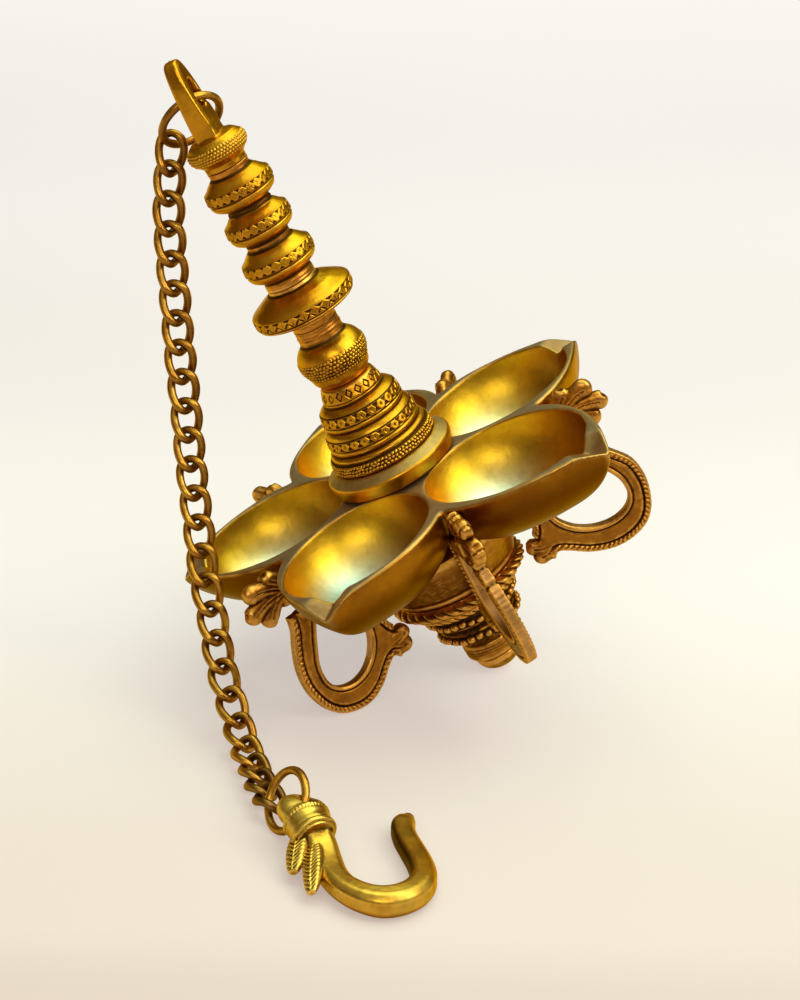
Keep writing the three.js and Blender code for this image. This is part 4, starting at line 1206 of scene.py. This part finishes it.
def hook(x, y, z):
    p = [q - c for q, c in zip((x, y, z), HEAD)]
    a = p[0] * hx[0] + p[1] * hx[1] + p[2] * hx[2]
    b = p[0] * hy[0] + p[1] * hy[1] + p[2] * hy[2]
    c = p[0] * HOLE_AXIS[0] + p[1] * HOLE_AXIS[1] + p[2] * HOLE_AXIS[2]
    k0 = np.sqrt((a / 0.090) ** 2 + (b / 0.090) ** 2 + (c / 0.062) ** 2)
    k1 = np.sqrt((a / 0.0081) ** 2 + (b / 0.0081) ** 2 + (c / 0.003844) ** 2)
    d = k0 * (k0 - 1) / np.maximum(k1, 1e-6)
    # an ear to the right of the ring
    ear = np.array([-0.262, -1.352, 0.112])
    ea, eb, ec = x - ear[0], y - ear[1], z - ear[2]
    d = smin(d, np.sqrt((ea / 0.060) ** 2 + (eb / 0.072) ** 2 + (ec / 0.062) ** 2) * 0.06 - 0.06, 0.03)
    # neck with a collar of three ridges
    n0, n1 = np.array([-0.290, -1.366, 0.1140]), np.array([-0.247, -1.444, 0.0915])
    ax = unit(n1 - n0)
    ln = np.linalg.norm(n1 - n0)
    t = (x - n0[0]) * ax[0] + (y - n0[1]) * ax[1] + (z - n0[2]) * ax[2]
    r2 = (x - n0[0]) ** 2 + (y - n0[1]) ** 2 + (z - n0[2]) ** 2 - t * t
    rad = np.sqrt(np.maximum(r2, 0))
    body = 0.0765 - 0.002 * np.clip(t / ln, 0, 1) - 0.003 * np.exp(-(((t / ln - 0.38) / 0.16) ** 2))
    ridge = 0
    for at, size, wide in ((0.00, 0.0085, 0.09), (0.38, 0.0052, 0.30), (0.80, 0.0105, 0.12)):
        ridge = np.maximum(ridge, size * np.maximum(0, 1 - ((t / ln - at) / wide) ** 4) ** 0.5)
    th = np.arctan2(
        (x - n0[0]) * ax[1] - (y - n0[1]) * ax[0], z - n0[2] - t * ax[2]
    )
    nick = 0.0035 * (0.5 + 0.5 * np.cos(40 * th)) * np.exp(-(((t / ln - 0.02) / 0.10) ** 2))
    neck = np.maximum(rad - body - ridge + nick, np.abs(t - ln * 0.47) - ln * 0.56)
    d = smin(d, neck, 0.016)
    # bar
    X, Y = x[:, :, 0], y[:, :, 0]
    X, Y = np.broadcast_arrays(X, Y)
    best = np.full(X.shape, 1e9)
    idx = np.zeros(X.shape, int)
    for i, q in enumerate(bar_path):
        e = (X - q[0]) ** 2 + (Y - q[1]) ** 2
        m = e < best
        best[m] = e[m]
        idx[m] = i
    q, tt, s = bar_path[idx], bar_dir[idx], bar_len[idx]
    lat = (X - q[..., 0]) * -tt[..., 1] + (Y - q[..., 1]) * tt[..., 0]
    dist = np.sqrt(best)
    # in line with the path the nearest sample can be a little off, so use the side part
    end = (idx == 0) | (idx == len(bar_path) - 1)
    l = np.where(end, dist, np.abs(lat))
    sign = np.sign(lat)
    mid = np.exp(-(((s - 0.48) / 0.2) ** 2))
    cap = np.where(s > 0.95, np.sqrt(np.maximum(0.3, 1 - ((s - 0.95) / 0.062) ** 2)), 1)
    root = 1 - step(0.06, 0.30, s)
    ha = ((0.0425 + 0.0080 * mid + 0.0150 * root) * cap)[:, :, None]
    hb = ((0.0405 + 0.0085 * mid + 0.0050 * root) * cap)[:, :, None]
    l, zc = l[:, :, None], q[..., 2][:, :, None]
    dz = np.abs(z - zc)
    flat = smax(l - ha, dz - hb, 0.010)
    bevel = (l + dz) * 0.7071 - (ha + hb) * 0.7071 * 0.775
    rod = smax(flat, bevel, 0.008)
    # the bar joins the head and collar with a soft blend
    d = smin(d, rod, 0.014)
    for pa, pb, w in (
        ((-0.300, -1.405, 0.103), (-0.322, -1.612, 0.050), 0.040),
        ((-0.252, -1.478, 0.098), (-0.252, -1.735, 0.050), 0.038),
    ):
        d = smin(d, leaf_shape(x, y, z, pa, pb, w), 0.004)
    hole = np.hypot(a, b) - 0.036
    d = smax(d, -hole, 0.012)
    px, py, pz = (q - c for q, c in zip((x, y, z), HOOK_RING_AT))
    hh = px * HOOK_RING_NORMAL[0] + py * HOOK_RING_NORMAL[1] + pz * HOOK_RING_NORMAL[2]
    rr = np.sqrt(np.maximum(px**2 + py**2 + pz**2 - hh**2, 0))
    worn = np.hypot(rr - 0.1093, hh) - 0.027
    d = smax(d, -worn, 0.006)
    d = smax(d, 0.0035 - z + 0 * d, 0.003)
    return d + 0.0009 * waves(x, y, z, 0.16, 21)


v, f = nets(hook, (-0.42, -1.83, 0.0), (0.19, -1.19, 0.205), 0.0031 * FINE)
row = floor_to_row(v)
f = out_facing(row, f)
row = row * 0.5 + smoothed(row, f, 1) * 0.5
n = normals(row, f)
d2 = ((v[:, None, :2] - bar_path[None, ::4, :2]) ** 2).sum(2)
near = d2.argmin(1)
side = ((v[:, :2] - bar_path[::4][near][:, :2]) * np.stack([-bar_dir[::4][near][:, 1], bar_dir[::4][near][:, 0]], 1)).sum(1)
s_at = bar_len[::4][near]
# painted shade on the inner wall of the bar's right arm and on surfaces that face down
shade = step(-0.010, 0.006, side) * step(0.42, 0.56, s_at) * (1 - step(0.62, 0.93, n[:, 2]))
shade = np.maximum(shade, 0.6 * step(0.1, 0.9, -n[:, 2]))
cav = hollowness(row, f, 0.00018, 8) * 0.75 + hollowness(row, f, 0.0008, 36) * 0.35
build("hook_cast", row, f, "hook", ["hook"], m_hook, {"shade": shade}, np.clip(cav, -1, 1))

# the rod through the stem stays as packed, in its own finish
rod_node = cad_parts["tie_rod"]
for slot_ in rod_node.material_slots:
    slot_.link = "OBJECT"
    slot_.material = m_rod

# ---- floor, camera and light ---------------------------------------------------------------------
# the card glows a little, so that the shadows on it stay faint: (distance back, glow)
FLOOR_GLOW = (
    (-0.50, (0.120, 0.050, 0.040)),
    (-0.135, (0.370, 0.270, 0.235)),
    (-0.105, (0.440, 0.360, 0.315)),
    (0.10, (0.560, 0.530, 0.510)),
    (0.28, (0.510, 0.460, 0.480)),
    (0.55, (0.545, 0.510, 0.545)),
    (1.20, (0.710, 0.690, 0.700)),
)
me = bpy.data.meshes.new("floor")
q = 4.0
me.from_pydata([(-q, -1.5, 0), (q, -1.5, 0), (q, 6, 0), (-q, 6, 0)], [], [(0, 1, 2, 3)])
floor = bpy.data.objects.new("floor", me)
bpy.context.scene.collection.objects.link(floor)
mat = bpy.data.materials.new("floor_card")
mat.use_nodes = True
nt = mat.node_tree
sh = nt.nodes["Principled BSDF"]
sh.inputs["Roughness"].default_value = 0.8
sh.inputs["Specular IOR Level"].default_value = 0.1
co = nt.nodes.new("ShaderNodeTexCoord")
sep = nt.nodes.new("ShaderNodeSeparateXYZ")
nt.links.new(co.outputs["Object"], sep.inputs[0])


def floor_ramp(stops):
    mr = nt.nodes.new("ShaderNodeMapRange")
    mr.inputs["From Min"].default_value = stops[0][0]
    mr.inputs["From Max"].default_value = stops[-1][0]
    nt.links.new(sep.outputs["Y"], mr.inputs["Value"])
    cr = nt.nodes.new("ShaderNodeValToRGB")
    cr.color_ramp.interpolation = "EASE"
    span = stops[-1][0] - stops[0][0]
    for i, (y, colour) in enumerate(stops):
        at = (y - stops[0][0]) / span
        el = cr.color_ramp.elements
        el = el[0] if i == 0 else (el[len(el) - 1] if i == len(stops) - 1 else el.new(at))
        el.position = at
        el.color = (*colour, 1)
    nt.links.new(mr.outputs["Result"], cr.inputs["Fac"])
    return cr.outputs["Color"]


noise = nt.nodes.new("ShaderNodeTexNoise")
noise.inputs["Scale"].default_value = 4.0
nt.links.new(co.outputs["Object"], noise.inputs["Vector"])
mx2 = nt.nodes.new("ShaderNodeMix")
mx2.data_type = "RGBA"
mx2.inputs["A"].default_value = (0.37, 0.35, 0.315, 1)
mx2.inputs["B"].default_value = (0.39, 0.37, 0.335, 1)
nt.links.new(noise.outputs["Fac"], mx2.inputs["Factor"])
nt.links.new(mx2.outputs["Result"], sh.inputs["Base Color"])
glow = floor_ramp(FLOOR_GLOW)
nt.links.new(glow, sh.inputs["Emission Color"])
sh.inputs["Emission Strength"].default_value = 1.0
floor.data.materials.append(mat)

right = Vector((0.9997869, 0.008445915, 0.01883781))
up = -Vector((0.02064453, -0.4090244, -0.9122899))
back = -Vector((0.0, 0.9124844, -0.4091115))
cam_data = bpy.data.cameras.new("camera")
cam_data.lens = 80.59
cam_data.sensor_width = 36.0
cam_data.sensor_fit = "AUTO"
cam_data.clip_start = 0.01
cam = bpy.data.objects.new("camera", cam_data)
m = Matrix((right, up, back)).transposed().to_4x4()
m.translation = Vector((-0.0018401, -0.5697229, 0.3248840))
cam.matrix_world = m
bpy.context.scene.collection.objects.link(cam)
bpy.context.scene.camera = cam


def softbox(name, at, target, size, power, colour):
    data = bpy.data.lights.new(name, "AREA")
    data.shape = "RECTANGLE"
    data.size, data.size_y = size
    data.energy = power
    data.color = colour
    ob = bpy.data.objects.new(name, data)
    ob.location = at
    d = Vector(target) - Vector(at)
    ob.rotation_euler = d.to_track_quat("-Z", "Y").to_euler()
    bpy.context.scene.collection.objects.link(ob)
    return ob


softbox("overhead", (0.20, 0.25, 1.05), (0, 0, 0.05), (1.3, 1.1), 9.6, (0.80, 1.0, 0.79))
softbox("key", (0.80, -0.35, 0.80), (0, 0, 0.08), (0.7, 0.8), 6.4, (1.0, 0.97, 0.88))
softbox("front", (-0.10, -1.00, 0.75), (0, 0, 0.03), (0.8, 0.4), 3.6, (1.0, 0.93, 0.80))

world = bpy.data.worlds.new("room")
bpy.context.scene.world = world
world.use_nodes = True
nt = world.node_tree
bg = nt.nodes["Background"]
co = nt.nodes.new("ShaderNodeTexCoord")
sep = nt.nodes.new("ShaderNodeSeparateXYZ")
nt.links.new(co.outputs["Generated"], sep.inputs[0])
ramp = nt.nodes.new("ShaderNodeValToRGB")
ramp.color_ramp.elements[0].position = 0.0
ramp.color_ramp.elements[0].color = (0.10, 0.058, 0.030, 1)
ramp.color_ramp.elements[1].position = 1.0
ramp.color_ramp.elements[1].color = (0.55, 0.55, 0.50, 1)
e = ramp.color_ramp.elements.new(0.35)
e.color = (0.15, 0.097, 0.050, 1)
nt.links.new(sep.outputs["Z"], ramp.inputs["Fac"])
nt.links.new(ramp.outputs["Color"], bg.inputs["Color"])
bg.inputs["Strength"].default_value = 1.0
bpy.context.scene.view_settings.view_transform = "Standard"
